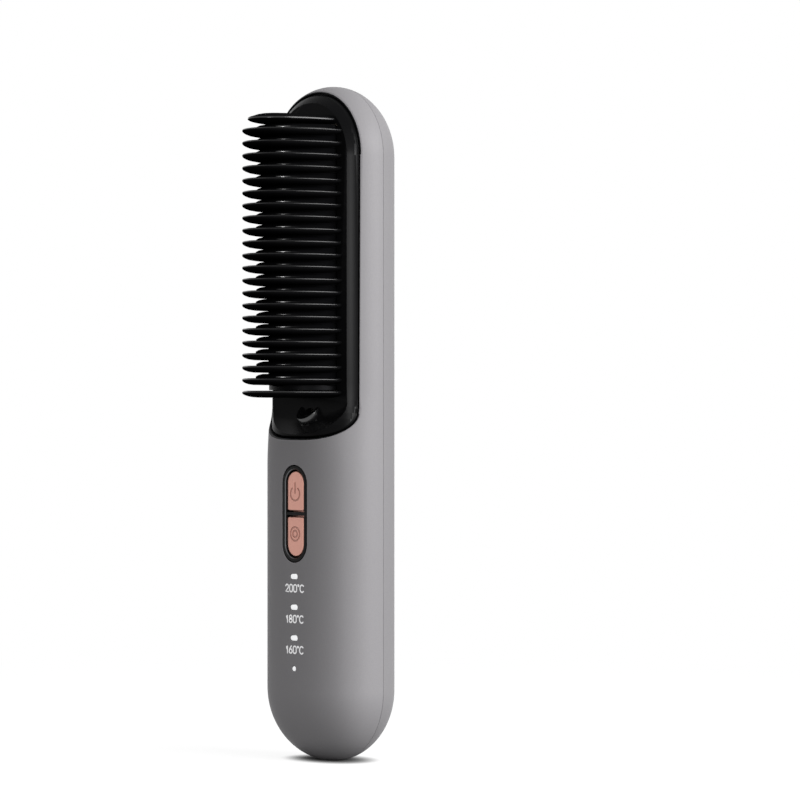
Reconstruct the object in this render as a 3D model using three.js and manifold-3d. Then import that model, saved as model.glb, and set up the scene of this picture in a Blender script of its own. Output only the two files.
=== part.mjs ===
// Cordless hair straightening brush: a capsule body in two shells, a comb of heated fins and cool
// blades in a long window, two push buttons, four lamps, two round cells and a charging socket.
// Millimetres. +Z runs up the handle to the head, -Y is the comb side, +X is to the right seen from
// the front. The origin is at the middle of the overall box, on the surface that the brush stands on.

import * as THREE from 'three';
import { mergeVertices } from 'three/addons/utils/BufferGeometryUtils.js';
import Module from 'manifold-3d';

const wasm = await Module();
wasm.setup();

// Clearances
const FIT = 0.3; // between pieces that seat on each other
const LENS_FIT = 0.2; // round the lamp lenses and the bezel in their holes

// Body: a capsule with superellipse sections, widest at y = 0 in its own frame
const LENGTH = 210;
const WALL = 1.8;
const FOOT_HALF_WIDTH = 8.0; // the flat that the brush stands on
const FOOT_DEPTH_EASE = 0.85; // under 1, the lower dome stays deep for longer than it stays wide
const GRIP_FULLNESS = 2.4; // section exponent of the front, at the grip
const HEAD_FULLNESS = 2.0; // and at the head
const BACK_FULLNESS = 2.0;
const FULLNESS_BLEND = 26; // length over which the front changes from one to the other
const SEAM_Y = 1.0; // parting plane, just behind the widest line
const LIP_THICKNESS = 0.8; // tongue of the rear shell inside the front one
const LIP_GAP = 0.45; // off the wall at its widest
const LIP_REACH = 2.2;
const LIP_ROOT = 4.0;

// Comb window in the front shell
const RIM_WIDTH = 3.1; // widest line of the body to the window's side
const WINDOW_TOP_RIM = 2.5;
const WINDOW_CORNER_RISE = 9.4; // height of its rounded foot
const WINDOW_CORNER_FULLNESS = 2.9;
const LEDGE_WIDTH = 1.5;
const LEDGE_BACK = 3.0; // distances in front of the widest plane
const LEDGE_THICKNESS = 2.0;

// Comb cover
const COVER_DROP = 1.2; // its rim lies this much below the body's surface
const PLATFORM = 9.25; // height of the flat that carries the blades
const PLATFORM_THICKNESS = 1.95;
const SKIRT_WIDTH = 1.9;
const RECESS_RIM = 1.1;
const RECESS_CORNER_RISE = 8.0;
const RECESS_RIM_RISE = 1.3; // window foot to the recess's edge in the cover's surface
const RECESS_SLOPE = 0.8; // how its lower wall would go on above that edge
// Sweep of its lower wall into the platform: height above the platform, rise above the window's foot
const RECESS_SWEEP = [[0, 7.9], [0.25, 6.5], [0.95, 5.3], [1.95, 4.3]];
const BLADE_PITCH = 3.82; // as near as a whole number of rows allows
const FIRST_ROW_RISE = 14.5; // window foot to the first blade
const LAST_ROW_DROP = 8.8; // window top to the last blade
const BLADE_HALF_WIDTH = 14.8;
const BLADE_REACH = 33.8; // blade tips in front of the widest plane
const BLADE_TOP_RISE = 0.25; // row's height to the blade's flat upper face
const TIP_THICKNESS = 0.5; // flat at the very front of a blade's nose
const TIP_DROP = 0.7; // upper face to the middle of that flat
const NOSE_DEPTH = 0.5; // how far back the nose has its full thickness
const NOSE_THICKNESS = 1.2;
const NOSE_DROP = 0.15; // upper face to the nose's upper edge
const BELLY = 1.7; // thickness a third of the way in
const BELLY_DEPTH = 3.2;
const BLADE_ROOT = 1.85;
const BLADE_GAP = 0.4; // blades off the barrel
const TOP_BLADE_NARROWER = 3.1;
const TOP_BLADE_SHORTER = 1.2;
const TOP_BLADE_CROWN = 1.3; // its tip to the top of its back
const END_BLADE_BACK = 1.8; // thickness of the end blades behind their tips
const EMBED = 0.6; // how deep a blade or fin is joined into what carries it

// Heater plate
const BARREL_HALF_WIDTH = 12.25;
const BARREL_RISE = 13.0;
const FIN_STEP = 6.3; // barrel crest to fin crest
const FIN_TIP = 0.45;
const FIN_INSET = 0.05; // fin crest inside the barrel's side
const HAIR_GAP = 0.4;
const FLANGE_WIDTH = 1.2;
const FLANGE_THICKNESS = 1.7;
const SEAT_COVER = 2.6; // barrel crest to the flat that the heater elements lie on
const SEAT_SIDE = 0.75; // underside of the barrel's skin to the side of that flat
const BARREL_WALL = 1.9;
const CHANNEL_SHOULDER = 3.25; // platform to the bend in the channel's wall

// Heater stack behind the plate
const ELEMENT_THICKNESS = 1.3;
const ELEMENT_END = 4.2; // plate end to element end
const ELEMENT_GAP = 11.0;
const SHEET_THICKNESS = 0.4;
const SHEET_RIM = 0.8; // beside the window for the sensor and the fuse
const SENSOR_RADIUS = 1.2;
const SENSOR_LENGTH = 5;
const FUSE_RADIUS = 1.5;
const FUSE_LENGTH = 8;
const CARRIER_THICKNESS = 2.2;
const CARRIER_RIM = 1.75; // carrier edge beyond the plate's flange
const CLAMP_RIB_WIDTH = 1.2;
const CARRIER_TAPER = 8; // height over which its upper end narrows
const WAIST_LOW = 1.5; // screws to the notches in its ends
const WAIST_HIGH = 2.5;
const LEAD_SLOT_HEIGHT = 4.4;
const LEAD_SLOT_SINK = 0.4; // slot for the heater leads below the plate's foot
const SENSOR_SLOT = [-5.5, -1.5, -4, 2.5]; // left, right, and foot and top from the plate's middle

// Outlet hood at the foot of the comb
const HOOD_RADIUS = 4.2;
const HOOD_WALL = 0.9;
const HOOD_TOP_RISE = 9.8; // window foot to the upper end of the rim
const HOOD_WAIST_RISE = 7.6; // window foot to the middle of its rounded foot
const HOOD_RIM_FALL = 4.0;
const OUTLET_RADIUS = 2.4;
const OUTLET_RISE = 7.0;

// Buttons
const BUTTONS_DROP = 23.2; // window foot to the middle of the bezel
const BEZEL_HALF_WIDTH = 5.45;
const BEZEL_HALF_LENGTH = 14.9;
const BEZEL_RING = 1.25;
const BEZEL_PROUD = 0.15;
const BEZEL_FLANGE = 1.4;
const BEZEL_FLANGE_THICKNESS = 0.9;
const CROSSBAR = 1.0;
const CROSSBAR_SINK = 0.2;
const CAP_GAP = 0.5;
const CAP_PROUD = 0.1;
const CAP_CHAMFER = 0.35;
const CAP_FLANGE = 0.55;
const CAP_FLANGE_THICKNESS = 0.7;
const CAP_CORNER = 0.8;
const TRAVEL = 0.5;
const PRESS_ROOM = 0.4; // left behind a cap that is pressed home

// Main board with its switches and lamps
const BOARD_ROOM = 1.2; // cells to board
const BOARD_THICKNESS = 1.2;
const BOARD_FOOT_GAP = 1.0; // charging board to the main board
const BOARD_SIDE_ROOM = 7.6; // widest line of the body to the board's edge
const SWITCH_SIZE = 6.0;
const SWITCH_HEIGHT = 1.5;
const SWITCH_FLOOR = 0.2;
const PLUNGER_RADIUS = 1.2;
const CHIP_SIZE = [2.0, 0.7, 1.2];
const LAMP_COUNT = 3;
const LAMP_GAP = 4.5; // bezel to the first lamp
const LAMP_PITCH = 9.5;
const LAMP_HALF_WIDTH = 1.67;
const LAMP_HALF_HEIGHT = 0.85;
const DOT_RADIUS = 0.9;
const LENS_SINK = 0.05;
const LENS_FLANGE = 0.9;
const LENS_FLANGE_THICKNESS = 1.0;

// Cells
const CELL_RADIUS = 9.2;
const CELL_LENGTH = 65;
const CELL_Y = 2.4;
const CELL_GAP = 0.5;
const CELL_SIDE_ROOM = 2.15;
const CELL_BACK_ROOM = 2.9;
const CELL_LIFT = 6.9; // charging board to cells
const CELL_HEAD_ROOM = 6.2; // cells to the window's foot
const CELL_BUTTON = 4; // radius of the raised end
const CELL_BUTTON_HEIGHT = 0.4;
const CELL_CHAMFER = 0.6;
const STRAP_THICKNESS = 0.2;
const STRAP_HALF_WIDTH = 4;
const CRADLE_PLATE = 1.4;
const CRADLE_ROOM = 0.4; // board screws to the cradle
const SPINE_STEP = 0.9; // its spine in front of its plates
const LEAD_NOTCH_HALF_WIDTH = 2;
const SPINE_BEHIND_NOTCH = 1.5;
const SPINE_HALF_WIDTH = 3.0;
const LEAD_NOTCH_BACK = 3.5;

// Charging socket and its board
const SOCKET_HALF_WIDTH = 4.47;
const SOCKET_HALF_HEIGHT = 1.63;
const SOCKET_WALL = 0.3;
const SOCKET_DEPTH = 7.3;
const SOCKET_INSET = 0.4;
const CHARGE_BOARD_LENGTH = 17;
const CHARGE_BOARD_THICKNESS = 1.0;
const CHARGE_BOARD_FOOT = 5.0;
const CHARGE_BOARD_SIDE_GAP = 0.8;
const TONGUE_HALF_WIDTH = 3.3;
const TONGUE_HALF_THICKNESS = 0.35;
const TONGUE_INSET = 0.8; // behind the socket's mouth, and its base inside the socket's walls
const TONGUE_BASE_HEIGHT = 1.2;
const TONGUE_BASE_HALF_THICKNESS = 0.9;
const POST_HALF_WIDTH = 2; // post behind the charging board
const POST_HEIGHT = 5;
const POST_DROP = 3; // top of the charging board to the post

// Ion generator
const ION_DEPTH = 8.2;
const ION_HEIGHT = 11.6;
const ION_DROP = 0.5; // window foot to the generator's foot
const ION_SIDE_GAP = 0.5; // generator to the screw bosses beside it
const ION_POCKET_WALL = 1.2;
const ION_POCKET_DEPTH = 5.2;
const EMITTER_RADIUS = 1.7;
const NEEDLE_RADIUS = 0.4;
const NEEDLE_REACH = 1.4;

// Screws and bosses
const TOP_SCREW_DROP = 4.3; // window top to the rear screw there
const SIDE_SCREW_RISE = 7.9; // window foot to the two beside the heater
const SIDE_SCREW_INSET = 5.5;
const FOOT_SCREW_Z = 17;
const FOOT_SCREW_INSET = 11.1;
const REAR_BOSS_SPLIT = 2.0;
const REAR_BOSS_WALL = 1.0;
const REAR_HEAD_SINK = 3.2;
const REAR_SHANK_BITE = 5.0;
const BOARD_SCREW_INSET = 2.6;
const BOARD_HEAD_RADIUS = 1.7;
const CARRIER_SCREW_X = 7.5;
const CARRIER_LOW_GAP = 2.05; // bosses to the heater plate's ends
const CARRIER_HIGH_GAP = 1.0;
const CARRIER_SCREW_COVER = 1.0; // tips of these screws to the platform's face
const BOSS_RADIUS = 2.3;
const FOOT_BOSS_RADIUS = 2.7;
const BOSS_ROOT = 1.0; // how deep a boss goes into the platform
const SHANK_RADIUS = 0.9;
const HEAD_RADIUS = 1.9;
const HEAD_HEIGHT = 1.2;
const SHANK_ROOT = 0.5; // how deep a shank goes into its head

// Leads
const LEAD_RADIUS = 0.6;
const BATTERY_LEAD_INSET = 2.45; // from the middle of each cell
const LEAD_SPACING = 0.8;
const PAIR_X = 3; // charging and heater leads from the middle
const BEND = 1.6;

// Facets
const BODY_SIDES = 32;
const DOME_STEPS = 6;
const BLEND_STEPS = 3;
const ARCH_STEPS = 10;

// Depths, from the cells forwards to the button caps and backwards to the rear wall
const BOARD_BACK = CELL_RADIUS - CELL_Y + BOARD_ROOM;
const BOARD_FRONT = BOARD_BACK + BOARD_THICKNESS;
const SWITCH_BACK = BOARD_FRONT + FIT;
const SWITCH_FRONT = SWITCH_BACK + SWITCH_HEIGHT;
const CAP_BACK = SWITCH_FRONT + TRAVEL + PRESS_ROOM;
const CAP_FLANGE_FRONT = CAP_BACK + CAP_FLANGE_THICKNESS;
const BEZEL_BACK = CAP_FLANGE_FRONT + FIT;
const BEZEL_FLANGE_FRONT = BEZEL_BACK + BEZEL_FLANGE_THICKNESS;
const FRONT_DEPTH = BEZEL_FLANGE_FRONT + FIT + WALL;
const BACK_DEPTH = CELL_Y + CELL_RADIUS + CELL_BACK_ROOM + WALL;
const ION_FRONT = CELL_Y + CELL_RADIUS - ION_DEPTH;
const CRADLE_FRONT = BOARD_BACK - FIT - HEAD_HEIGHT - CRADLE_ROOM;
const AXIS_Y = (BLADE_REACH - BACK_DEPTH) / 2;

// Widths, from the cells outwards
const CELL_X = CELL_RADIUS + CELL_GAP / 2;
const HALF_WIDTH = CELL_X + CELL_RADIUS + CELL_SIDE_ROOM + WALL;
const WINDOW_HALF_WIDTH = HALF_WIDTH - RIM_WIDTH;
const BOARD_HALF_WIDTH = HALF_WIDTH - BOARD_SIDE_ROOM;
const BOARD_SCREW_X = BOARD_HALF_WIDTH - BOARD_SCREW_INSET;
const REAR_BOSS_RADIUS = HEAD_RADIUS + 2 * FIT + REAR_BOSS_WALL;
const FOOT_SCREW_X = HALF_WIDTH - FOOT_SCREW_INSET;
const SIDE_SCREW_X = WINDOW_HALF_WIDTH - SIDE_SCREW_INSET;
const CHARGE_BOARD_HALF_WIDTH = FOOT_SCREW_X - REAR_BOSS_RADIUS - CHARGE_BOARD_SIDE_GAP;
const ION_HALF_WIDTH = SIDE_SCREW_X - REAR_BOSS_RADIUS - ION_SIDE_GAP;
const FLANGE_HALF_WIDTH = BARREL_HALF_WIDTH + FLANGE_WIDTH;
const CARRIER_HALF_WIDTH = FLANGE_HALF_WIDTH + CARRIER_RIM;
const CHANNEL_HALF_WIDTH = BARREL_HALF_WIDTH - BARREL_WALL;
const SEAT_RISE_SHARE = (BARREL_RISE - SEAT_COVER) / (BARREL_RISE - EMBED);
const SEAT_HALF_WIDTH = (BARREL_HALF_WIDTH - EMBED) * Math.sqrt(1 - SEAT_RISE_SHARE ** 2) - SEAT_SIDE;
const ELEMENT_HALF_WIDTH = SEAT_HALF_WIDTH - 2 * FIT;
const CLAMP_RIB_X = ELEMENT_HALF_WIDTH - CLAMP_RIB_WIDTH - SHEET_RIM;
const SENSOR_X = ELEMENT_HALF_WIDTH - SHEET_RIM - 2 * FIT - FUSE_RADIUS;

// Heights, from the socket up to the head
const LOW_CENTRE = Math.sqrt(HALF_WIDTH ** 2 - FOOT_HALF_WIDTH ** 2);
const HIGH_CENTRE = LENGTH - HALF_WIDTH;
const CHARGE_BOARD_TOP = CHARGE_BOARD_FOOT + CHARGE_BOARD_LENGTH;
const BOARD_FOOT = CHARGE_BOARD_TOP + BOARD_FOOT_GAP;
const CELLS_FOOT = CHARGE_BOARD_TOP + CELL_LIFT;
const CELLS_TOP = CELLS_FOOT + CELL_LENGTH;
const LOW_STRAP = CELLS_FOOT - FIT - STRAP_THICKNESS;
const HIGH_STRAP = CELLS_TOP + FIT;
const CRADLE_TOP = HIGH_STRAP + STRAP_THICKNESS + FIT;
const WINDOW_FOOT = CELLS_TOP + CELL_HEAD_ROOM;
const WINDOW_TOP = LENGTH - WINDOW_TOP_RIM;
const BOARD_TOP = WINDOW_FOOT - FIT;
const BUTTONS_Z = WINDOW_FOOT - BUTTONS_DROP;
const TOP_LAMP_Z = BUTTONS_Z - BEZEL_HALF_LENGTH - LAMP_GAP;
const DOT_Z = TOP_LAMP_Z - LAMP_COUNT * LAMP_PITCH;
const ION_FOOT = WINDOW_FOOT - ION_DROP;
const FIRST_ROW = WINDOW_FOOT + FIRST_ROW_RISE;
const LAST_ROW = WINDOW_TOP - LAST_ROW_DROP;
const BLADE_ROWS = 1 + Math.round((LAST_ROW - FIRST_ROW) / BLADE_PITCH);
const PITCH = (LAST_ROW - FIRST_ROW) / (BLADE_ROWS - 1);
const FIRST_BLADE_TOP = FIRST_ROW + BLADE_TOP_RISE;
const LAST_BLADE_FOOT = LAST_ROW - END_BLADE_BACK;
const PLATE_FOOT = FIRST_BLADE_TOP + FIT;
const PLATE_TOP = LAST_BLADE_FOOT - FIT;
const PLATE_MIDDLE = (PLATE_FOOT + PLATE_TOP) / 2;
const CARRIER_SCREW_LOW = PLATE_FOOT - CARRIER_LOW_GAP - BOSS_RADIUS;
const CARRIER_SCREW_HIGH = PLATE_TOP + CARRIER_HIGH_GAP + BOSS_RADIUS;

// Depths of the heater stack, from the platform backwards and from the barrel's crest backwards
const PLATFORM_BACK = PLATFORM - PLATFORM_THICKNESS;
const BLADE_RISE = BLADE_REACH - PLATFORM;
const COVER_SEAT = LEDGE_BACK + LEDGE_THICKNESS + FIT;
const FLANGE_BACK = PLATFORM_BACK - FIT - FLANGE_THICKNESS;
const CARRIER_FRONT = FLANGE_BACK - FIT;
const CARRIER_BACK = CARRIER_FRONT - CARRIER_THICKNESS;
const SEAT_LEVEL = PLATFORM + BARREL_RISE - SEAT_COVER;
const ELEMENT_FRONT = SEAT_LEVEL - FIT;
const ELEMENT_BACK = ELEMENT_FRONT - ELEMENT_THICKNESS;
const SHEET_FRONT = ELEMENT_BACK - FIT;

// Rear screws: one at the head, two beside the heater's foot and two by the charging board
const REAR_SCREWS = [
  [0, WINDOW_TOP - TOP_SCREW_DROP],
  [-SIDE_SCREW_X, WINDOW_FOOT + SIDE_SCREW_RISE],
  [SIDE_SCREW_X, WINDOW_FOOT + SIDE_SCREW_RISE],
  [-FOOT_SCREW_X, FOOT_SCREW_Z],
  [FOOT_SCREW_X, FOOT_SCREW_Z],
];
const COVER_SCREWS = REAR_SCREWS.slice(0, 3);
const FOOT_SCREWS = REAR_SCREWS.slice(3);

// Solids

function smooth(value, from, to) {
  const share = THREE.MathUtils.clamp((value - from) / (to - from), 0, 1);
  return share * share * (3 - 2 * share);
}

function power(value, exponent) {
  return Math.sign(value) * Math.abs(value) ** exponent;
}

function solidOf(geometry) {
  const bare = geometry.clone();
  bare.deleteAttribute('normal');
  bare.deleteAttribute('uv');
  const merged = mergeVertices(bare, 1e-4);
  return new wasm.Manifold(
    new wasm.Mesh({
      numProp: 3,
      vertProperties: new Float32Array(merged.attributes.position.array),
      triVerts: new Uint32Array(merged.index.array),
    }),
  );
}

function geometryOf(solid) {
  const mesh = solid.getMesh();
  const geometry = new THREE.BufferGeometry();
  geometry.setAttribute('position', new THREE.BufferAttribute(mesh.vertProperties, 3));
  geometry.setIndex(new THREE.BufferAttribute(mesh.triVerts, 1));
  return geometry;
}

function join(...solids) {
  return solids.reduce((whole, next) => whole.add(next));
}

function cut(solid, ...tools) {
  return tools.reduce((whole, next) => whole.subtract(next), solid);
}

// Triangles that fill a flat ring and turn the same way as its points
function fill(ring) {
  const spans = [0, 1, 2].map((axis) => {
    const values = ring.map((point) => point[axis]);
    return Math.max(...values) - Math.min(...values);
  });
  const flat = spans.indexOf(Math.min(...spans));
  const contour = ring.map((point) => new THREE.Vector2(...point.filter((_, axis) => axis !== flat)));
  const turn = Math.sign(THREE.ShapeUtils.area(contour));
  return THREE.ShapeUtils.triangulateShape(contour, []).map(([a, b, c]) => {
    const isSame = Math.sign(THREE.ShapeUtils.area([contour[a], contour[b], contour[c]])) === turn;
    return isSame ? [a, b, c] : [a, c, b];
  });
}

// A closed skin over flat rings of equally many points, with its faces turned outwards
function loft(rings) {
  const count = rings[0].length;
  const positions = rings.flat(2);
  const faces = [];
  for (let ring = 0; ring + 1 < rings.length; ring += 1) {
    for (let i = 0; i < count; i += 1) {
      const next = (i + 1) % count;
      const [a, b] = [ring * count + i, ring * count + next];
      faces.push([a, b, b + count], [a, b + count, a + count]);
    }
  }
  const last = (rings.length - 1) * count;
  fill(rings[0]).forEach(([a, b, c]) => faces.push([a, c, b]));
  fill(rings.at(-1)).forEach(([a, b, c]) => faces.push([a + last, b + last, c + last]));
  const corner = (index) => new THREE.Vector3().fromArray(positions, 3 * index);
  const volume = faces.reduce((sum, [a, b, c]) => sum + corner(a).dot(corner(b).cross(corner(c))), 0);
  const geometry = new THREE.BufferGeometry();
  geometry.setAttribute('position', new THREE.Float32BufferAttribute(positions, 3));
  geometry.setIndex((volume < 0 ? faces.map(([a, b, c]) => [a, c, b]) : faces).flat());
  return solidOf(geometry);
}

function shapeOf(outline) {
  return new THREE.Shape(outline.map(([a, b]) => new THREE.Vector2(a, b)));
}

// An outline in X and Z, from one distance in front of the widest plane to another
function slab(outline, back, front) {
  const geometry = new THREE.ExtrudeGeometry(shapeOf(outline), { depth: front - back, bevelEnabled: false });
  geometry.rotateX(Math.PI / 2);
  geometry.translate(0, -back, 0);
  return solidOf(geometry);
}

// An outline in X and Y, from one height to another
function bar(outline, low, high) {
  const geometry = new THREE.ExtrudeGeometry(shapeOf(outline), { depth: high - low, bevelEnabled: false });
  geometry.translate(0, 0, low);
  return solidOf(geometry);
}

// A box between two heights and two distances in front of the widest plane
function block(left, right, back, front, low, high) {
  const geometry = new THREE.BoxGeometry(right - left, front - back, high - low);
  geometry.translate((left + right) / 2, -(back + front) / 2, (low + high) / 2);
  return solidOf(geometry);
}

// A round bar along Y, between two distances in front of the widest plane
function rod(x, z, radius, back, front, sides = 12) {
  const geometry = new THREE.CylinderGeometry(radius, radius, front - back, sides);
  geometry.translate(x, -(back + front) / 2, z);
  return solidOf(geometry);
}

function stadium(halfWidth, halfLength, centreZ, steps = 8) {
  const straight = Math.max(halfLength - halfWidth, 0);
  const points = [];
  for (let i = 0; i <= 2 * steps + 1; i += 1) {
    const upper = i <= steps;
    const angle = (Math.PI * (upper ? i : i - 1)) / steps;
    const shift = upper ? straight : -straight;
    points.push([halfWidth * Math.cos(angle), centreZ + shift + halfWidth * Math.sin(angle)]);
  }
  return points;
}

function pill(halfWidth, halfHeight, centreZ, steps = 5) {
  return stadium(halfHeight, halfWidth, 0, steps).map(([x, z]) => [z, centreZ - x]);
}

function rectangle(left, right, low, high) {
  return [[left, low], [right, low], [right, high], [left, high]];
}

// Body

function frontFullness(z) {
  const from = WINDOW_FOOT - FULLNESS_BLEND / 3;
  const share = smooth(z, from, from + FULLNESS_BLEND);
  return GRIP_FULLNESS + (HEAD_FULLNESS - GRIP_FULLNESS) * share;
}

// The lower dome's depth, as a share of the full depth, where its width has that share of the full width
function domeDepth(z, share) {
  return z < LOW_CENTRE ? share ** FOOT_DEPTH_EASE : share;
}

function bodySection(z, share, inset) {
  return Array.from({ length: BODY_SIDES }, (_, i) => {
    const angle = (2 * Math.PI * i) / BODY_SIDES;
    const isFront = Math.sin(angle) < 0;
    const exponent = 2 / (isFront ? frontFullness(z) : BACK_FULLNESS);
    const depth = ((isFront ? FRONT_DEPTH : BACK_DEPTH) - inset) * domeDepth(z, share);
    return [
      (HALF_WIDTH - inset) * share * power(Math.cos(angle), exponent),
      depth * power(Math.sin(angle), exponent),
      z,
    ];
  });
}

// The whole capsule, or the space inside a wall of that thickness
function capsule(inset) {
  const radius = HALF_WIDTH - inset;
  const floorTurn = Math.asin((LOW_CENTRE - inset) / radius);
  const rings = [];
  for (let step = 0; step <= DOME_STEPS; step += 1) {
    const turn = floorTurn * (1 - step / DOME_STEPS);
    rings.push(bodySection(LOW_CENTRE - radius * Math.sin(turn), Math.cos(turn), inset));
  }
  const blendFrom = WINDOW_FOOT - FULLNESS_BLEND / 3;
  for (let step = 0; step <= BLEND_STEPS; step += 1) {
    rings.push(bodySection(blendFrom + (FULLNESS_BLEND * step) / BLEND_STEPS, 1, inset));
  }
  for (let step = 0; step <= DOME_STEPS; step += 1) {
    const turn = ((Math.PI / 2) * 0.985 * step) / DOME_STEPS;
    rings.push(bodySection(HIGH_CENTRE + radius * Math.sin(turn), Math.cos(turn), inset));
  }
  return loft(rings);
}

// The body's outline at the widest plane, drawn in by a wall
function sideOutline(inset) {
  const radius = HALF_WIDTH - inset;
  const floorTurn = Math.asin((LOW_CENTRE - inset) / radius);
  const arc = (centre, from, to) => Array.from({ length: 13 }, (_, i) => {
    const angle = from + ((to - from) * i) / 12;
    return [radius * Math.cos(angle), centre + radius * Math.sin(angle)];
  });
  return [...arc(HIGH_CENTRE, 0, Math.PI), ...arc(LOW_CENTRE, Math.PI, Math.PI + floorTurn),
    ...arc(LOW_CENTRE, 2 * Math.PI - floorTurn, 2 * Math.PI)];
}

// How far the body's front or back surface lies from the widest plane
function surfaceDepth(x, z, isFront) {
  const reach = z > HIGH_CENTRE ? z - HIGH_CENTRE : Math.max(LOW_CENTRE - z, 0);
  const share = Math.sqrt(1 - (reach / HALF_WIDTH) ** 2);
  const fullness = isFront ? frontFullness(z) : BACK_FULLNESS;
  const depth = (isFront ? FRONT_DEPTH : BACK_DEPTH) * domeDepth(z, share);
  return depth * (1 - Math.abs(x / (HALF_WIDTH * share)) ** fullness) ** (1 / fullness);
}

function windowOutline(inset) {
  const halfWidth = WINDOW_HALF_WIDTH - inset;
  const topCentre = WINDOW_TOP - WINDOW_HALF_WIDTH;
  const cornerTop = WINDOW_FOOT + WINDOW_CORNER_RISE;
  const points = [];
  for (let i = 0; i <= 16; i += 1) {
    const angle = (Math.PI * i) / 16;
    points.push([halfWidth * Math.cos(angle), topCentre + halfWidth * Math.sin(angle)]);
  }
  return points.concat(roundedFoot(halfWidth, cornerTop, WINDOW_CORNER_RISE - inset));
}

// The lower edge of the window or of the recess in it, from its left side to its right
function roundedFoot(halfWidth, top, rise) {
  const exponent = 2 / WINDOW_CORNER_FULLNESS;
  return Array.from({ length: 15 }, (_, i) => {
    const angle = Math.PI + (Math.PI * i) / 14;
    return [halfWidth * power(Math.cos(angle), exponent), top + rise * power(Math.sin(angle), exponent)];
  });
}

function half(isFront) {
  const reach = 2 * HALF_WIDTH;
  const edge = -SEAM_Y + (isFront ? FIT / 2 : -FIT / 2);
  return isFront
    ? block(-reach, reach, edge, reach, -1, LENGTH + 1)
    : block(-reach, reach, -reach, edge, -1, LENGTH + 1);
}

function socketHole() {
  const outline = stadium(SOCKET_HALF_HEIGHT + FIT, SOCKET_HALF_WIDTH + FIT, 0).map(([y, x]) => [x, y]);
  return bar(outline, -1, SOCKET_INSET + SOCKET_DEPTH + FIT);
}

function rearScrewHoles() {
  return REAR_SCREWS.map(([x, z]) => {
    const surface = surfaceDepth(x, z, false);
    const sink = rod(x, z, HEAD_RADIUS + 2 * FIT, -surface - 2, -surface + REAR_HEAD_SINK, 16);
    return sink.add(rod(x, z, SHANK_RADIUS + FIT, -surface, REAR_BOSS_SPLIT + REAR_SHANK_BITE + FIT));
  });
}

function boardScrewPlaces() {
  return [BOARD_FOOT + BOARD_SCREW_INSET, BOARD_TOP - BOARD_SCREW_INSET].flatMap((z) => [
    [-BOARD_SCREW_X, z],
    [BOARD_SCREW_X, z],
  ]);
}

function carrierScrewPlaces() {
  return [CARRIER_SCREW_LOW, CARRIER_SCREW_HIGH].flatMap((z) => [
    [-CARRIER_SCREW_X, z],
    [CARRIER_SCREW_X, z],
  ]);
}

function frontShell() {
  const outer = capsule(0);
  const ledge = cut(
    slab(windowOutline(-LEDGE_WIDTH), LEDGE_BACK, LEDGE_BACK + LEDGE_THICKNESS),
    slab(windowOutline(LEDGE_WIDTH), 0, 2 * LEDGE_BACK + LEDGE_THICKNESS),
  ).intersect(outer);
  const lowBosses = FOOT_SCREWS.map(([x, z]) =>
    rod(x, z, FOOT_BOSS_RADIUS, -REAR_BOSS_SPLIT, FRONT_DEPTH).intersect(outer));
  const boardBosses = boardScrewPlaces().map(([x, z]) =>
    rod(x, z, BOSS_RADIUS, BOARD_FRONT + FIT, FRONT_DEPTH).intersect(outer));
  const boardHoles = boardScrewPlaces().map(([x, z]) =>
    rod(x, z, SHANK_RADIUS + FIT, BOARD_BACK, surfaceDepth(x, z, true) - WALL));
  const opening = slab(windowOutline(0), LEDGE_BACK + LEDGE_THICKNESS, 2 * FRONT_DEPTH);
  const bezelHole = slab(
    stadium(BEZEL_HALF_WIDTH + LENS_FIT, BEZEL_HALF_LENGTH + LENS_FIT, BUTTONS_Z),
    BOARD_FRONT, 2 * FRONT_DEPTH);
  const lampHoles = lampHeights().map((z) =>
    slab(pill(LAMP_HALF_WIDTH + LENS_FIT, LAMP_HALF_HEIGHT + LENS_FIT, z), BOARD_FRONT, 2 * FRONT_DEPTH));
  const dotHole = rod(0, DOT_Z, DOT_RADIUS + LENS_FIT, BOARD_FRONT, 2 * FRONT_DEPTH);
  const shell = cut(outer, capsule(WALL)).intersect(half(true));
  const lowHoles = FOOT_SCREWS.map(([x, z]) =>
    rod(x, z, SHANK_RADIUS + FIT, -2 * REAR_BOSS_SPLIT, REAR_SHANK_BITE + FIT - REAR_BOSS_SPLIT));
  return cut(join(shell, ledge, ...lowBosses, ...boardBosses),
    opening, bezelHole, dotHole, socketHole(), ...lampHoles, ...boardHoles, ...lowHoles);
}

function rearShell() {
  const outer = capsule(0);
  const lip = cut(
    slab(sideOutline(WALL + LIP_GAP), -SEAM_Y - LIP_ROOT, LIP_REACH - SEAM_Y),
    slab(sideOutline(WALL + LIP_GAP + LIP_THICKNESS), -HALF_WIDTH, HALF_WIDTH),
  );
  const bosses = REAR_SCREWS.map(([x, z]) =>
    rod(x, z, REAR_BOSS_RADIUS, -2 * BACK_DEPTH, -REAR_BOSS_SPLIT - FIT).intersect(outer));
  const side = ION_HALF_WIDTH + FIT;
  const [foot, top] = [ION_FOOT - FIT, ION_FOOT + ION_HEIGHT + FIT];
  const wall = ION_POCKET_WALL;
  const pocketFront = ION_POCKET_DEPTH - CELL_Y - CELL_RADIUS;
  const pocket = cut(
    block(-side - wall, side + wall, -2 * BACK_DEPTH, pocketFront, foot - wall, top + wall),
    block(-side, side, -2 * BACK_DEPTH, BACK_DEPTH, foot, top),
  ).intersect(outer);
  const postTop = CHARGE_BOARD_TOP - POST_DROP;
  const post = block(-POST_HALF_WIDTH, POST_HALF_WIDTH, -2 * BACK_DEPTH, -chargeBoardBack() - FIT,
    postTop - POST_HEIGHT, postTop).intersect(outer);
  const shell = cut(outer, capsule(WALL)).intersect(half(false));
  return cut(join(shell, lip, ...bosses, pocket, post), socketHole(), ...rearScrewHoles());
}

// Comb cover

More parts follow.
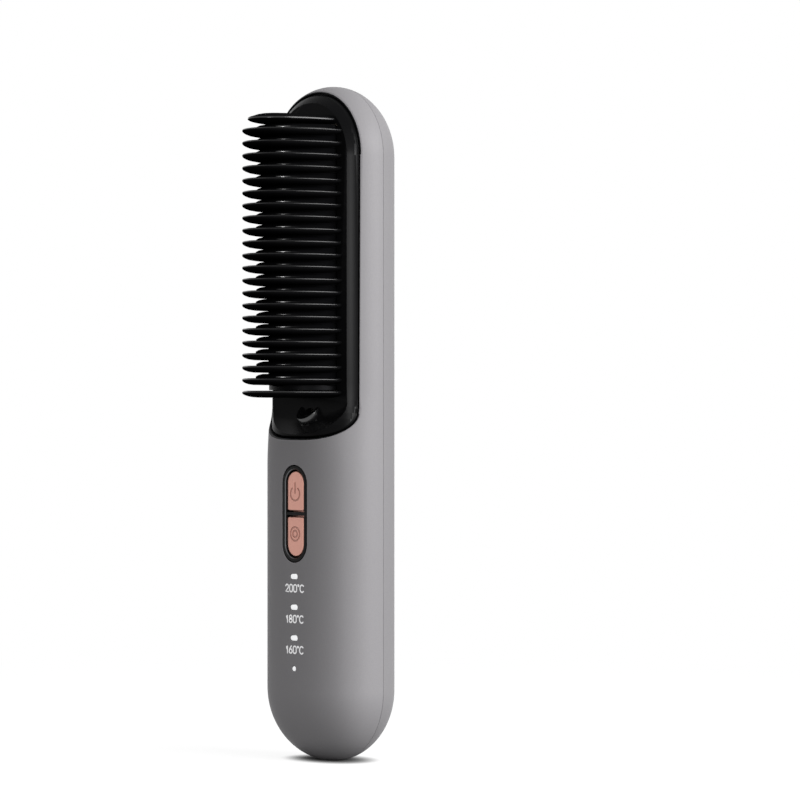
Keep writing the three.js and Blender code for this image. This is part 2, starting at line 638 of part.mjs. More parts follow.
function recess() {
  const rimLevel = FRONT_DEPTH - COVER_DROP;
  const levels = [
    ...RECESS_SWEEP.map(([above, rise]) => [PLATFORM + above, rise]),
    [rimLevel, RECESS_RIM_RISE],
    [BLADE_REACH, RECESS_RIM_RISE - RECESS_SLOPE * (BLADE_REACH - rimLevel)],
  ];
  return loft(levels.map(([level, rise]) => {
    const top = WINDOW_FOOT + rise + RECESS_CORNER_RISE;
    const side = WINDOW_HALF_WIDTH - RECESS_RIM;
    return [[side, LENGTH + 5], [-side, LENGTH + 5]]
      .concat(roundedFoot(side, top, RECESS_CORNER_RISE))
      .map(([x, z]) => [x, -level, z]);
  }));
}

// Points round an arch that stands on the platform; depth 0 is its crest
function archPoint(halfWidth, rise, share) {
  const angle = Math.PI * share;
  return [halfWidth * Math.cos(angle), PLATFORM + rise * Math.sin(angle)];
}

// A blade that bridges the heater plate: a flat upper face, a blunt nose and a full lower face
function archBlade(z) {
  const top = z + BLADE_TOP_RISE;
  const rings = Array.from({ length: ARCH_STEPS + 1 }, (_, step) => {
    const share = step / ARCH_STEPS;
    const crest = archPoint(BLADE_HALF_WIDTH, BLADE_RISE, share);
    const inner = archPoint(BARREL_HALF_WIDTH + BLADE_GAP, BARREL_RISE + BLADE_GAP, share);
    const depth = Math.hypot(inner[0] - crest[0], inner[1] - crest[1]);
    const place = (back, height) => {
      const part = Math.min(back / depth, 1);
      return [crest[0] + (inner[0] - crest[0]) * part, -crest[1] - (inner[1] - crest[1]) * part, height];
    };
    return [
      place(NOSE_DEPTH, top - NOSE_DROP),
      place(0, top - TIP_DROP + TIP_THICKNESS / 2),
      place(0, top - TIP_DROP - TIP_THICKNESS / 2),
      place(NOSE_DEPTH, top - NOSE_DROP - NOSE_THICKNESS),
      place(Math.min(BELLY_DEPTH, depth / 2), top - BELLY),
      place(depth, top - BLADE_ROOT),
      place(depth, top),
      place(3 * NOSE_DEPTH, top),
    ];
  });
  const sink = (ring) => ring.map(([x, y, height]) => [x, y + EMBED, height]);
  return loft([sink(rings[0]), ...rings, sink(rings.at(-1))]);
}

// A closed end wall of the comb, as an outline in X and Y that is drawn in at each height
function endBlade(halfWidth, rise, levels) {
  return loft(levels.map(([height, inset]) => {
    const steps = ARCH_STEPS + 2;
    const arch = Array.from({ length: steps + 1 }, (_, i) => {
      const [x, level] = archPoint(halfWidth - inset, rise - inset, i / steps);
      return [x, -level, height];
    });
    const foot = EMBED - PLATFORM;
    return [[halfWidth - inset, foot, height], ...arch, [inset - halfWidth, foot, height]];
  }));
}

// A cup with a sloping mouth over the outlet
function hood() {
  const waist = WINDOW_FOOT + HOOD_WAIST_RISE;
  const rimTop = WINDOW_FOOT + HOOD_TOP_RISE;
  const top = rimTop + HOOD_WALL;
  const sides = 18;
  const cup = (radius) => {
    const profile = Array.from({ length: 5 }, (_, i) => {
      const angle = ((Math.PI / 2) * (i - 3.8)) / 4;
      return [radius * Math.cos(angle), waist + radius * Math.sin(angle)];
    });
    return loft([...profile, [radius, top]].map(([r, z]) => Array.from({ length: sides }, (_, i) => {
      const angle = (2 * Math.PI * i) / sides;
      return [r * Math.cos(angle), -PLATFORM + r * Math.sin(angle), z];
    })));
  };
  const slope = HOOD_RIM_FALL / HOOD_RADIUS;
  const far = 2 * HOOD_RADIUS;
  const aboveRim = [-far, far].map((x) => [
    [x, -PLATFORM + far, rimTop + slope * far],
    [x, -PLATFORM - far, rimTop - slope * far],
    [x, -PLATFORM - far, top + far * 2],
    [x, -PLATFORM + far, top + far * 2],
  ]);
  const behind = block(-far, far, 0, PLATFORM - EMBED, 0, LENGTH);
  const outlet = rod(0, WINDOW_FOOT + OUTLET_RISE, OUTLET_RADIUS, 0, PLATFORM + 1);
  const inFront = block(-far, far, PLATFORM, BLADE_REACH, 0, LENGTH);
  return {
    shell: cut(cup(HOOD_RADIUS), loft(aboveRim), behind),
    hollow: cup(HOOD_RADIUS - HOOD_WALL).intersect(inFront).add(outlet),
  };
}

function combCover() {
  const blank = slab(windowOutline(FIT), COVER_SEAT, 2 * FRONT_DEPTH)
    .intersect(capsule(0).translate([0, COVER_DROP, 0]));
  const underside = slab(windowOutline(FIT + SKIRT_WIDTH), 0, PLATFORM_BACK)
    .subtract(block(-HALF_WIDTH, HALF_WIDTH, 0, PLATFORM, 0, WINDOW_FOOT + 6));
  const opening = slab(
    rectangle(-BARREL_HALF_WIDTH - FIT, BARREL_HALF_WIDTH + FIT, FIRST_BLADE_TOP, LAST_BLADE_FOOT),
    0, PLATFORM + 1);
  const blades = [];
  for (let row = 1; row < BLADE_ROWS - 1; row += 1) {
    blades.push(archBlade(FIRST_ROW + row * PITCH));
  }
  const lowEnd = endBlade(BLADE_HALF_WIDTH, BLADE_RISE, [
    [FIRST_BLADE_TOP, 3 * NOSE_DEPTH],
    [FIRST_BLADE_TOP - NOSE_DROP, NOSE_DEPTH],
    [FIRST_BLADE_TOP - TIP_DROP + TIP_THICKNESS / 2, 0],
    [FIRST_BLADE_TOP - TIP_DROP - TIP_THICKNESS / 2, 0],
    [FIRST_BLADE_TOP - NOSE_DROP - NOSE_THICKNESS, NOSE_DEPTH],
    [FIRST_BLADE_TOP - BELLY, BELLY_DEPTH],
    [FIRST_ROW - END_BLADE_BACK, 2.5 * BELLY_DEPTH],
  ]);
  const highEnd = endBlade(BLADE_HALF_WIDTH - TOP_BLADE_NARROWER, BLADE_RISE - TOP_BLADE_SHORTER, [
    [LAST_BLADE_FOOT, 1.5 * BELLY_DEPTH],
    [LAST_ROW + BLADE_TOP_RISE - BELLY, BELLY_DEPTH],
    [LAST_ROW - TIP_THICKNESS - NOSE_DEPTH, NOSE_DEPTH],
    [LAST_ROW - TIP_THICKNESS, 0],
    [LAST_ROW, 0],
    [LAST_ROW + BLADE_TOP_RISE, NOSE_DEPTH],
    [LAST_ROW + TOP_BLADE_CROWN / 2, BELLY_DEPTH / 2],
    [LAST_ROW + TOP_BLADE_CROWN, 1.5 * BELLY_DEPTH],
  ]);
  const bossTop = PLATFORM_BACK + BOSS_ROOT;
  const bosses = COVER_SCREWS.map(([x, z]) => rod(x, z, BOSS_RADIUS, -REAR_BOSS_SPLIT, bossTop));
  const shortBosses = carrierScrewPlaces().map(([x, z]) =>
    rod(x, z, BOSS_RADIUS, CARRIER_FRONT + FIT, PLATFORM_BACK + BOSS_ROOT));
  const holeTop = PLATFORM - CARRIER_SCREW_COVER + FIT;
  const holes = carrierScrewPlaces().map(([x, z]) => rod(x, z, SHANK_RADIUS + FIT, 0, holeTop));
  const rearHoles = COVER_SCREWS.map(([x, z]) =>
    rod(x, z, SHANK_RADIUS + FIT, -2 * REAR_BOSS_SPLIT, REAR_SHANK_BITE + FIT - REAR_BOSS_SPLIT));
  const { shell, hollow } = hood();
  const body = cut(blank, recess(), underside);
  return cut(join(body, ...bosses, ...shortBosses, shell), opening, hollow, ...holes, ...rearHoles)
    .add(join(lowEnd, highEnd, ...blades));
}

// Heater plate: an arched barrel with a flange behind the cover and a fin above each blade

// The barrel's skin and its fins, as a profile along Z that is carried round the arch
function finnedSkin() {
  const rings = Array.from({ length: ARCH_STEPS + 1 }, (_, step) => {
    const share = step / ARCH_STEPS;
    const [crestX, crestLevel] = archPoint(BARREL_HALF_WIDTH - FIN_INSET, BARREL_RISE + FIN_STEP, share);
    const [x, level] = archPoint(BARREL_HALF_WIDTH, BARREL_RISE, share);
    const [innerX, innerLevel] = archPoint(BARREL_HALF_WIDTH - 2 * EMBED, BARREL_RISE - 2 * EMBED, share);
    const profile = [[x, -level, PLATE_FOOT]];
    for (let row = 1; row < BLADE_ROWS - 1; row += 1) {
      const foot = FIRST_ROW + row * PITCH + BLADE_TOP_RISE + FIT;
      const isLast = row === BLADE_ROWS - 2;
      const root = isLast ? LAST_BLADE_FOOT - 2 * FIT - foot : PITCH - BLADE_ROOT - FIT - HAIR_GAP;
      profile.push([x, -level, foot], [crestX, -crestLevel, foot], [crestX, -crestLevel, foot + FIN_TIP],
        [x, -level, foot + root]);
    }
    profile.push([x, -level, PLATE_TOP], [innerX, -innerLevel, PLATE_TOP], [innerX, -innerLevel, PLATE_FOOT]);
    return profile;
  });
  return loft(rings);
}

function heaterPlate() {
  const arch = Array.from({ length: ARCH_STEPS + 1 }, (_, i) => {
    const [x, level] = archPoint(BARREL_HALF_WIDTH - EMBED, BARREL_RISE - EMBED, i / ARCH_STEPS);
    return [x, -level];
  });
  const flangeFront = -FLANGE_BACK - FLANGE_THICKNESS;
  const outline = [
    [BARREL_HALF_WIDTH, flangeFront],
    [BARREL_HALF_WIDTH, -PLATFORM],
    ...arch,
    [-BARREL_HALF_WIDTH, -PLATFORM],
    [-BARREL_HALF_WIDTH, flangeFront],
    [-FLANGE_HALF_WIDTH, flangeFront],
    [-FLANGE_HALF_WIDTH, -FLANGE_BACK],
    [-CHANNEL_HALF_WIDTH, -FLANGE_BACK],
    [-CHANNEL_HALF_WIDTH, -PLATFORM - CHANNEL_SHOULDER],
    [-SEAT_HALF_WIDTH, -SEAT_LEVEL],
    [SEAT_HALF_WIDTH, -SEAT_LEVEL],
    [CHANNEL_HALF_WIDTH, -PLATFORM - CHANNEL_SHOULDER],
    [CHANNEL_HALF_WIDTH, -FLANGE_BACK],
    [FLANGE_HALF_WIDTH, -FLANGE_BACK],
    [FLANGE_HALF_WIDTH, flangeFront],
  ];
  return finnedSkin().add(bar(outline, PLATE_FOOT, PLATE_TOP));
}

// Heater elements, sheet, sensor, fuse and carrier

function heaterElement(isUpper) {
  const [low, high] = isUpper
    ? [PLATE_MIDDLE + ELEMENT_GAP / 2, PLATE_TOP - ELEMENT_END]
    : [PLATE_FOOT + ELEMENT_END, PLATE_MIDDLE - ELEMENT_GAP / 2];
  return block(-ELEMENT_HALF_WIDTH, ELEMENT_HALF_WIDTH, ELEMENT_BACK, ELEMENT_FRONT, low, high);
}

function insulatingSheet() {
  const side = ELEMENT_HALF_WIDTH;
  const [back, front] = [SHEET_FRONT - SHEET_THICKNESS, SHEET_FRONT];
  return block(-side, side, back, front, PLATE_FOOT + ELEMENT_END + 2, PLATE_TOP - ELEMENT_END)
    .subtract(block(SHEET_RIM - side, side - SHEET_RIM, 0, BLADE_REACH,
      PLATE_MIDDLE - ELEMENT_GAP / 2, PLATE_MIDDLE + ELEMENT_GAP / 2));
}

// A small round body along Z that lies against the plate's seat
function seatedCylinder(x, radius, length) {
  const geometry = new THREE.CylinderGeometry(radius, radius, length, 12);
  geometry.rotateX(Math.PI / 2);
  geometry.translate(x, -(ELEMENT_FRONT - radius), PLATE_MIDDLE);
  return solidOf(geometry);
}

function heaterCarrier() {
  const low = CARRIER_SCREW_LOW - BOSS_RADIUS;
  const high = CARRIER_SCREW_HIGH + BOSS_RADIUS;
  const waistLow = CARRIER_SCREW_LOW + WAIST_LOW;
  const waistHigh = CARRIER_SCREW_HIGH - WAIST_HIGH;
  const shoulder = PLATE_TOP - CARRIER_TAPER;
  const ear = CARRIER_SCREW_X + BOSS_RADIUS;
  const notch = CARRIER_SCREW_X - BOSS_RADIUS;
  const outline = [
    [-ear, low], [-notch, low], [-notch, waistLow], [notch, waistLow], [notch, low], [ear, low],
    [ear, waistLow], [CARRIER_HALF_WIDTH, PLATE_FOOT], [CARRIER_HALF_WIDTH, shoulder],
    [ear, waistHigh], [ear, high], [notch, high], [notch, waistHigh], [-notch, waistHigh], [-notch, high],
    [-ear, high], [-ear, waistHigh], [-CARRIER_HALF_WIDTH, shoulder], [-CARRIER_HALF_WIDTH, PLATE_FOOT],
    [-ear, waistLow],
  ];
  const plate = slab(outline, CARRIER_BACK, CARRIER_FRONT);
  const ribFront = SHEET_FRONT - SHEET_THICKNESS - FIT;
  const ribs = [-1, 1].map((side) => {
    const edges = [side * CLAMP_RIB_X, side * (CLAMP_RIB_X + CLAMP_RIB_WIDTH)].sort((a, b) => a - b);
    return block(...edges, CARRIER_BACK, ribFront, PLATE_FOOT + ELEMENT_END + 2, PLATE_TOP - ELEMENT_END);
  });
  const middle = [PLATE_MIDDLE - ELEMENT_GAP / 2, PLATE_MIDDLE + ELEMENT_GAP / 2];
  const ribGap = block(-HALF_WIDTH, HALF_WIDTH, CARRIER_FRONT, BLADE_REACH, ...middle);
  const [slotLeft, slotRight, slotFoot, slotTop] = SENSOR_SLOT;
  const heaterSlotFoot = PLATE_FOOT - LEAD_SLOT_SINK;
  const leadSlots = [
    block(-CLAMP_RIB_X - 1, CLAMP_RIB_X + 1, -1, CARRIER_FRONT + 1,
      heaterSlotFoot, heaterSlotFoot + LEAD_SLOT_HEIGHT),
    block(slotLeft, slotRight, -1, CARRIER_FRONT + 1, PLATE_MIDDLE + slotFoot, PLATE_MIDDLE + slotTop),
  ];
  const holes = carrierScrewPlaces().map(([x, z]) => rod(x, z, SHANK_RADIUS + FIT, -1, CARRIER_FRONT + 1));
  return cut(plate.add(join(...ribs).subtract(ribGap)), ...leadSlots, ...holes);
}

// Buttons

const BEZEL_FACE = FRONT_DEPTH + BEZEL_PROUD;
const CAP_HALF_WIDTH = BEZEL_HALF_WIDTH - BEZEL_RING - CAP_GAP;
const CAP_HALF_SPAN = BEZEL_HALF_LENGTH - BEZEL_RING - CAP_GAP;

function buttonBezel() {
  const flangeFront = surfaceDepth(BEZEL_HALF_WIDTH + BEZEL_FLANGE, BUTTONS_Z, true) - WALL - 1.5 * FIT;
  const ring = slab(stadium(BEZEL_HALF_WIDTH, BEZEL_HALF_LENGTH, BUTTONS_Z), BEZEL_BACK, BEZEL_FACE);
  const flange = slab(
    stadium(BEZEL_HALF_WIDTH + BEZEL_FLANGE, BEZEL_HALF_LENGTH + BEZEL_FLANGE, BUTTONS_Z),
    BEZEL_BACK, flangeFront);
  const inside = slab(
    stadium(BEZEL_HALF_WIDTH - BEZEL_RING, BEZEL_HALF_LENGTH - BEZEL_RING, BUTTONS_Z), 0, 2 * FRONT_DEPTH);
  const reach = BEZEL_HALF_WIDTH - BEZEL_RING / 2;
  const crossbar = block(-reach, reach, BEZEL_BACK, BEZEL_FACE - CROSSBAR_SINK,
    BUTTONS_Z - CROSSBAR / 2, BUTTONS_Z + CROSSBAR / 2);
  return cut(ring.add(flange), inside).add(crossbar);
}

// A cap with a round outer end and a straight inner one; side is 1 above the crossbar and -1 below
function capOutline(grow, side) {
  const halfWidth = CAP_HALF_WIDTH + grow;
  const near = CROSSBAR / 2 + CAP_GAP - Math.min(grow, FIT / 2);
  const far = CAP_HALF_SPAN + grow - halfWidth;
  const straight = halfWidth - CAP_CORNER;
  const points = [[-straight, near], [straight, near], [halfWidth, near + CAP_CORNER]];
  for (let i = 0; i <= 10; i += 1) {
    const angle = (Math.PI * i) / 10;
    points.push([halfWidth * Math.cos(angle), far + halfWidth * Math.sin(angle)]);
  }
  points.push([-halfWidth, near + CAP_CORNER]);
  return points.map(([x, z]) => [x, BUTTONS_Z + side * z]);
}

function buttonCap(side) {
  const face = FRONT_DEPTH + CAP_PROUD;
  const root = CAP_FLANGE_FRONT - CAP_FLANGE_THICKNESS / 2;
  const levels = [[0, root], [0, face - CAP_CHAMFER], [-CAP_CHAMFER, face]];
  const crown = loft(levels.map(([grow, level]) => capOutline(grow, side).map(([x, z]) => [x, -level, z])));
  return crown.add(slab(capOutline(CAP_FLANGE, side), CAP_BACK, CAP_FLANGE_FRONT));
}

function switchZ(side) {
  return BUTTONS_Z + (side * (BEZEL_HALF_LENGTH - BEZEL_RING)) / 2;
}

const PLUNGER_FRONT = CAP_BACK - FIT;
const PLUNGER_BACK = SWITCH_BACK + SWITCH_FLOOR + TRAVEL + FIT;

function switchHousing(side) {
  const [z, reach] = [switchZ(side), SWITCH_SIZE / 2];
  return cut(
    block(-reach, reach, SWITCH_BACK, SWITCH_FRONT, z - reach, z + reach),
    rod(0, z, PLUNGER_RADIUS + FIT, SWITCH_BACK + SWITCH_FLOOR, SWITCH_FRONT + 1, 16),
  );
}

function plunger(side) {
  return rod(0, switchZ(side), PLUNGER_RADIUS, PLUNGER_BACK, PLUNGER_FRONT, 16);
}

// Lamps

function lampHeights() {
  return Array.from({ length: LAMP_COUNT }, (_, i) => TOP_LAMP_Z - i * LAMP_PITCH);
}

const CHIP_FRONT = BOARD_FRONT + FIT + CHIP_SIZE[1];
const LENS_BACK = CHIP_FRONT + FIT;
const LENS_FLANGE_FRONT = surfaceDepth(LAMP_HALF_WIDTH + LENS_FLANGE, BUTTONS_Z, true) - WALL - FIT;

function pillLens(z) {
  const front = surfaceDepth(0, z, true) - LENS_SINK;
  const stem = slab(pill(LAMP_HALF_WIDTH, LAMP_HALF_HEIGHT, z), LENS_BACK, front);
  const flange = slab(pill(LAMP_HALF_WIDTH + LENS_FLANGE, LAMP_HALF_HEIGHT + LENS_FLANGE, z),
    LENS_FLANGE_FRONT - LENS_FLANGE_THICKNESS, LENS_FLANGE_FRONT);
  return stem.add(flange);
}

function dotLens() {
  const stem = rod(0, DOT_Z, DOT_RADIUS, LENS_BACK, surfaceDepth(0, DOT_Z, true) - LENS_SINK, 16);
  const flange = rod(0, DOT_Z, DOT_RADIUS + LENS_FLANGE, LENS_FLANGE_FRONT - LENS_FLANGE_THICKNESS,
    LENS_FLANGE_FRONT, 16);
  return stem.add(flange);
}

function lampChip(z) {
  const [width, depth, height] = CHIP_SIZE;
  const back = BOARD_FRONT + FIT;
  return block(-width / 2, width / 2, back, back + depth, z - height / 2, z + height / 2);
}

function mainBoard() {
  const board = block(-BOARD_HALF_WIDTH, BOARD_HALF_WIDTH, BOARD_BACK, BOARD_FRONT, BOARD_FOOT, BOARD_TOP);
  return cut(board, ...boardScrewPlaces().map(([x, z]) =>
    rod(x, z, SHANK_RADIUS + FIT, BOARD_BACK - 1, BOARD_FRONT + 1)));
}

// Cells, straps and cradle

function cell(side) {
  const shoulder = CELLS_TOP - CELL_BUTTON_HEIGHT;
  const profile = [
    [0, CELLS_FOOT], [CELL_RADIUS, CELLS_FOOT], [CELL_RADIUS, shoulder - CELL_CHAMFER],
    [CELL_RADIUS - CELL_CHAMFER, shoulder], [CELL_BUTTON, shoulder], [CELL_BUTTON, CELLS_TOP], [0, CELLS_TOP],
  ];
  const geometry = new THREE.LatheGeometry(profile.map(([r, z]) => new THREE.Vector2(r, z)), 24);
  geometry.rotateX(Math.PI / 2);
  geometry.translate(side * CELL_X, CELL_Y, 0);
  return solidOf(geometry);
}

function strap(left, right, front, low) {
  return block(left, right, -CELL_Y - STRAP_HALF_WIDTH, front, low, low + STRAP_THICKNESS);
}

const SPINE_BACK = LEAD_NOTCH_BACK + SPINE_BEHIND_NOTCH;

function topStrap(side) {
  const x = side * CELL_X;
  return strap(x - STRAP_HALF_WIDTH, x + STRAP_HALF_WIDTH, CRADLE_FRONT, HIGH_STRAP);
}

function cradle() {
  const room = capsule(WALL + LIP_GAP + LIP_THICKNESS + FIT);
  const foot = LOW_STRAP - FIT - CRADLE_PLATE;
  const plates = [foot, CRADLE_TOP].map((low) =>
    block(-HALF_WIDTH, HALF_WIDTH, -CELL_Y - CELL_RADIUS, CRADLE_FRONT, low, low + CRADLE_PLATE)
      .intersect(room));
  const spine = block(-SPINE_HALF_WIDTH, SPINE_HALF_WIDTH, SPINE_BACK, CRADLE_FRONT + SPINE_STEP,
    foot, CRADLE_TOP + CRADLE_PLATE);
  const notches = [-1, 1].map((side) => {
    const x = side * BATTERY_LEAD_X;
    return block(x - LEAD_NOTCH_HALF_WIDTH, x + LEAD_NOTCH_HALF_WIDTH, LEAD_NOTCH_BACK, HALF_WIDTH,
      HIGH_STRAP, CRADLE_TOP + 2 * CRADLE_PLATE);
  });
  return cut(join(...plates, spine), ...notches);
}

// Charging socket and board

function chargeBoardBack() {
  return SOCKET_HALF_HEIGHT + FIT + CHARGE_BOARD_THICKNESS;
}

function socketShell() {
  const outline = (grow) =>
    stadium(SOCKET_HALF_HEIGHT + grow, SOCKET_HALF_WIDTH + grow, 0).map(([y, x]) => [x, y]);
  const top = SOCKET_INSET + SOCKET_DEPTH;
  return cut(bar(outline(0), SOCKET_INSET, top), bar(outline(-SOCKET_WALL), -1, top - SOCKET_WALL));
}

function socketTongue() {
  const reach = SOCKET_HALF_WIDTH - SOCKET_WALL - FIT - TONGUE_INSET;
  const top = SOCKET_INSET + SOCKET_DEPTH - SOCKET_WALL - FIT;
  const base = block(-reach, reach, -TONGUE_BASE_HALF_THICKNESS, TONGUE_BASE_HALF_THICKNESS,
    top - TONGUE_BASE_HEIGHT, top);
  return base.add(block(-TONGUE_HALF_WIDTH, TONGUE_HALF_WIDTH, -TONGUE_HALF_THICKNESS, TONGUE_HALF_THICKNESS,
    SOCKET_INSET + TONGUE_INSET, top - TONGUE_BASE_HEIGHT / 2));
}

function chargeBoard() {
  return block(-CHARGE_BOARD_HALF_WIDTH, CHARGE_BOARD_HALF_WIDTH,
    -chargeBoardBack(), -SOCKET_HALF_HEIGHT - FIT,
    CHARGE_BOARD_FOOT, CHARGE_BOARD_TOP);
}

// Ion generator and emitter

function ionGenerator() {
  const back = -ION_FRONT - ION_DEPTH;
  return block(-ION_HALF_WIDTH, ION_HALF_WIDTH, back, -ION_FRONT, ION_FOOT, ION_FOOT + ION_HEIGHT);
}

function ionEmitter() {
  const z = WINDOW_FOOT + OUTLET_RISE;
  return join(
    rod(0, z, EMITTER_RADIUS, -ION_FRONT + FIT, PLATFORM_BACK - FIT),
    rod(0, z, NEEDLE_RADIUS, 0, PLATFORM + NEEDLE_REACH, 6),
  );
}

// Screws and leads

// A pan-headed screw along Y: its head is behind the level that it clamps
function screw(x, z, seat, tip, headRadius = HEAD_RADIUS) {
  return rod(x, z, headRadius, seat - FIT - HEAD_HEIGHT, seat - FIT, 12)
    .add(rod(x, z, SHANK_RADIUS, seat - FIT - SHANK_ROOT, tip, 6));
}

function lead(points) {
  const places = points.map(([x, level, z]) => new THREE.Vector3(x, -level, z));
  const path = new THREE.CatmullRomCurve3(places, false,
    'centripetal');
  const ring = Array.from({ length: 8 }, (_, i) => {
    const angle = (2 * Math.PI * i) / 8;
    return new THREE.Vector2(LEAD_RADIUS * Math.cos(angle), LEAD_RADIUS * Math.sin(angle));
  });
  const steps = Math.max(6, Math.min(18, Math.round(path.getLength() / (4 * LEAD_RADIUS))));
  const settings = { steps, extrudePath: path, bevelEnabled: false };
  return solidOf(new THREE.ExtrudeGeometry(new THREE.Shape(ring), settings));
}

const BATTERY_LEAD_X = CELL_X - BATTERY_LEAD_INSET;
const OUTER_LEAD_X = BATTERY_LEAD_X + 2 * LEAD_RADIUS + LEAD_SPACING;
const BOARD_END = BOARD_BACK - FIT;
const UNDER_LEDGE = WINDOW_FOOT - LEDGE_WIDTH - LEAD_RADIUS - FIT;
const BEHIND_LEDGE = LEDGE_BACK - LEAD_RADIUS - 4 * FIT;

function batteryLead(side) {
  const x = side * BATTERY_LEAD_X;
  return lead([
    [x, LEAD_NOTCH_BACK + 1.1, CRADLE_TOP],
    [x, LEAD_NOTCH_BACK + 1.2, CRADLE_TOP + 1.4],
    [x, LEAD_NOTCH_BACK + 2.6, CRADLE_TOP + 2.6],
    [x, BOARD_END, CRADLE_TOP + 2.8],
  ]);
}

function chargeLead(side) {
  const start = -SOCKET_HALF_HEIGHT;
  return lead([
    [side * PAIR_X, start, CHARGE_BOARD_TOP - 2],
    [side * PAIR_X, start + 2.5, CHARGE_BOARD_TOP - 1.6],
    [side * PAIR_X, BOARD_END - 2, BOARD_FOOT + 1.4],
    [side * PAIR_X, BOARD_END, BOARD_FOOT + 1.6],
  ]);
}

function heaterLead(side) {
  const elementFoot = PLATE_FOOT + ELEMENT_END;
  const level = (ELEMENT_BACK + ELEMENT_FRONT) / 2;
  const slot = PLATE_FOOT + 1.8;
  return lead([
    [side * PAIR_X, BOARD_END, UNDER_LEDGE],
    [side * PAIR_X, BEHIND_LEDGE + BEND, UNDER_LEDGE],
    [side * PAIR_X, BEHIND_LEDGE, UNDER_LEDGE + BEND],
    [side * PAIR_X, BEHIND_LEDGE, slot - 8],
    [side * PAIR_X, BEHIND_LEDGE, slot - 2],
    [side * PAIR_X, BEHIND_LEDGE + 2, slot],
    [side * PAIR_X, level - 2.2, slot],
    [side * PAIR_X, level, elementFoot - FIT - 1],
    [side * PAIR_X, level, elementFoot - FIT],
  ]);
}

function sensorLead() {
  const back = CARRIER_BACK - LEAD_RADIUS - 2 * FIT;
  const start = ELEMENT_FRONT - 2 * SENSOR_RADIUS - FIT;
  const besideScrew = CARRIER_SCREW_X + HEAD_RADIUS + LEAD_RADIUS + 0.5;
  return lead([
    [-SENSOR_X - 0.5, start, PLATE_MIDDLE],
    [-SENSOR_X - 0.5, CARRIER_FRONT + 1, PLATE_MIDDLE - 0.4],
    [-SENSOR_X - 0.7, back + 0.8, PLATE_MIDDLE - 1.8],
    [-5, back, PLATE_MIDDLE - 5],
    [-besideScrew, back, PLATE_MIDDLE - 14],
    [-besideScrew, back, FIRST_ROW],
    [0.9 - besideScrew, BEHIND_LEDGE, UNDER_LEDGE + 6],
    [-OUTER_LEAD_X, BEHIND_LEDGE, UNDER_LEDGE + BEND],
    [-OUTER_LEAD_X, BEHIND_LEDGE + BEND, UNDER_LEDGE],
    [-OUTER_LEAD_X, BOARD_END, UNDER_LEDGE],
  ]);
}

function ionLead() {
  return lead([
    [OUTER_LEAD_X, BOARD_END, UNDER_LEDGE],
    [OUTER_LEAD_X, BEHIND_LEDGE + BEND, UNDER_LEDGE],
    [OUTER_LEAD_X, 0.2, UNDER_LEDGE + 2.2],
    [OUTER_LEAD_X - 0.2, -0.8, UNDER_LEDGE + 4.4],
    [OUTER_LEAD_X - 0.4, -1.8, UNDER_LEDGE + 5],
    [OUTER_LEAD_X - 0.4, -ION_FRONT + FIT, UNDER_LEDGE + 5],
  ]);
}

// Materials

function material(color, roughness, metalness = 0) {
  return new THREE.MeshStandardMaterial({ color, roughness, metalness });
}

const shellGrey = material(0x8a888b, 0.42);
const combBlack = material(0x0c0c0d, 0.3);
const roseGold = material(0xd29b8a, 0.3, 0.7);
const lensWhite = material(0xf2f4f5, 0.35);
const boardGreen = material(0x1d5a38, 0.5);
const darkPlastic = material(0x26272a, 0.55);
const paleResin = material(0xd9d4c4, 0.6);
const aluminium = material(0xb9bcc0, 0.32, 0.9);
const ceramic = material(0xe6e2d8, 0.5);
const steel = material(0xa9acb0, 0.35, 0.9);
const nickel = material(0xc4c2ba, 0.3, 0.9);
const cellWrap = material(0x3f7fae, 0.4);
const redLead = material(0xb02020, 0.5);
const blackLead = material(0x161616, 0.5);
const whiteLead = material(0xe8e8e6, 0.5);

// Assembly

const brush = new THREE.Group();
brush.position.y = AXIS_Y;

function piece(name, solid, look) {
  const mesh = new THREE.Mesh(geometryOf(solid), look);
  mesh.name = name;
  brush.add(mesh);
}

piece('front_shell', frontShell(), shellGrey);
piece('rear_shell', rearShell(), shellGrey);
piece('comb_cover', combCover(), combBlack);
piece('heater_plate', heaterPlate(), aluminium);
piece('heater_element_lower', heaterElement(false), ceramic);
piece('heater_element_upper', heaterElement(true), ceramic);
piece('insulating_sheet', insulatingSheet(), paleResin);
piece('temperature_sensor', seatedCylinder(-SENSOR_X, SENSOR_RADIUS, SENSOR_LENGTH), darkPlastic);
piece('thermal_fuse', seatedCylinder(SENSOR_X, FUSE_RADIUS, FUSE_LENGTH), steel);
piece('heater_carrier', heaterCarrier(), paleResin);

piece('button_bezel', buttonBezel(), shellGrey);
[['power', 1], ['temperature', -1]].forEach(([name, side]) => {
  piece(`${name}_button`, buttonCap(side), roseGold);
  piece(`${name}_plunger`, plunger(side), darkPlastic);
  piece(`${name}_switch`, switchHousing(side), darkPlastic);
});

lampHeights().forEach((z, i) => {
  const degrees = 200 - 20 * i;
  piece(`lamp_lens_${degrees}`, pillLens(z), lensWhite);
  piece(`lamp_chip_${degrees}`, lampChip(z), paleResin);
});
piece('charge_lamp_lens', dotLens(), lensWhite);
piece('charge_lamp_chip', lampChip(DOT_Z), paleResin);
piece('main_board', mainBoard(), boardGreen);

piece('battery_cell_left', cell(-1), cellWrap);
piece('battery_cell_right', cell(1), cellWrap);
piece('battery_link_strap',
  strap(-CELL_X - STRAP_HALF_WIDTH, CELL_X + STRAP_HALF_WIDTH, SPINE_BACK - FIT, LOW_STRAP), nickel);
piece('battery_strap_left', topStrap(-1), nickel);
piece('battery_strap_right', topStrap(1), nickel);
piece('battery_cradle', cradle(), darkPlastic);

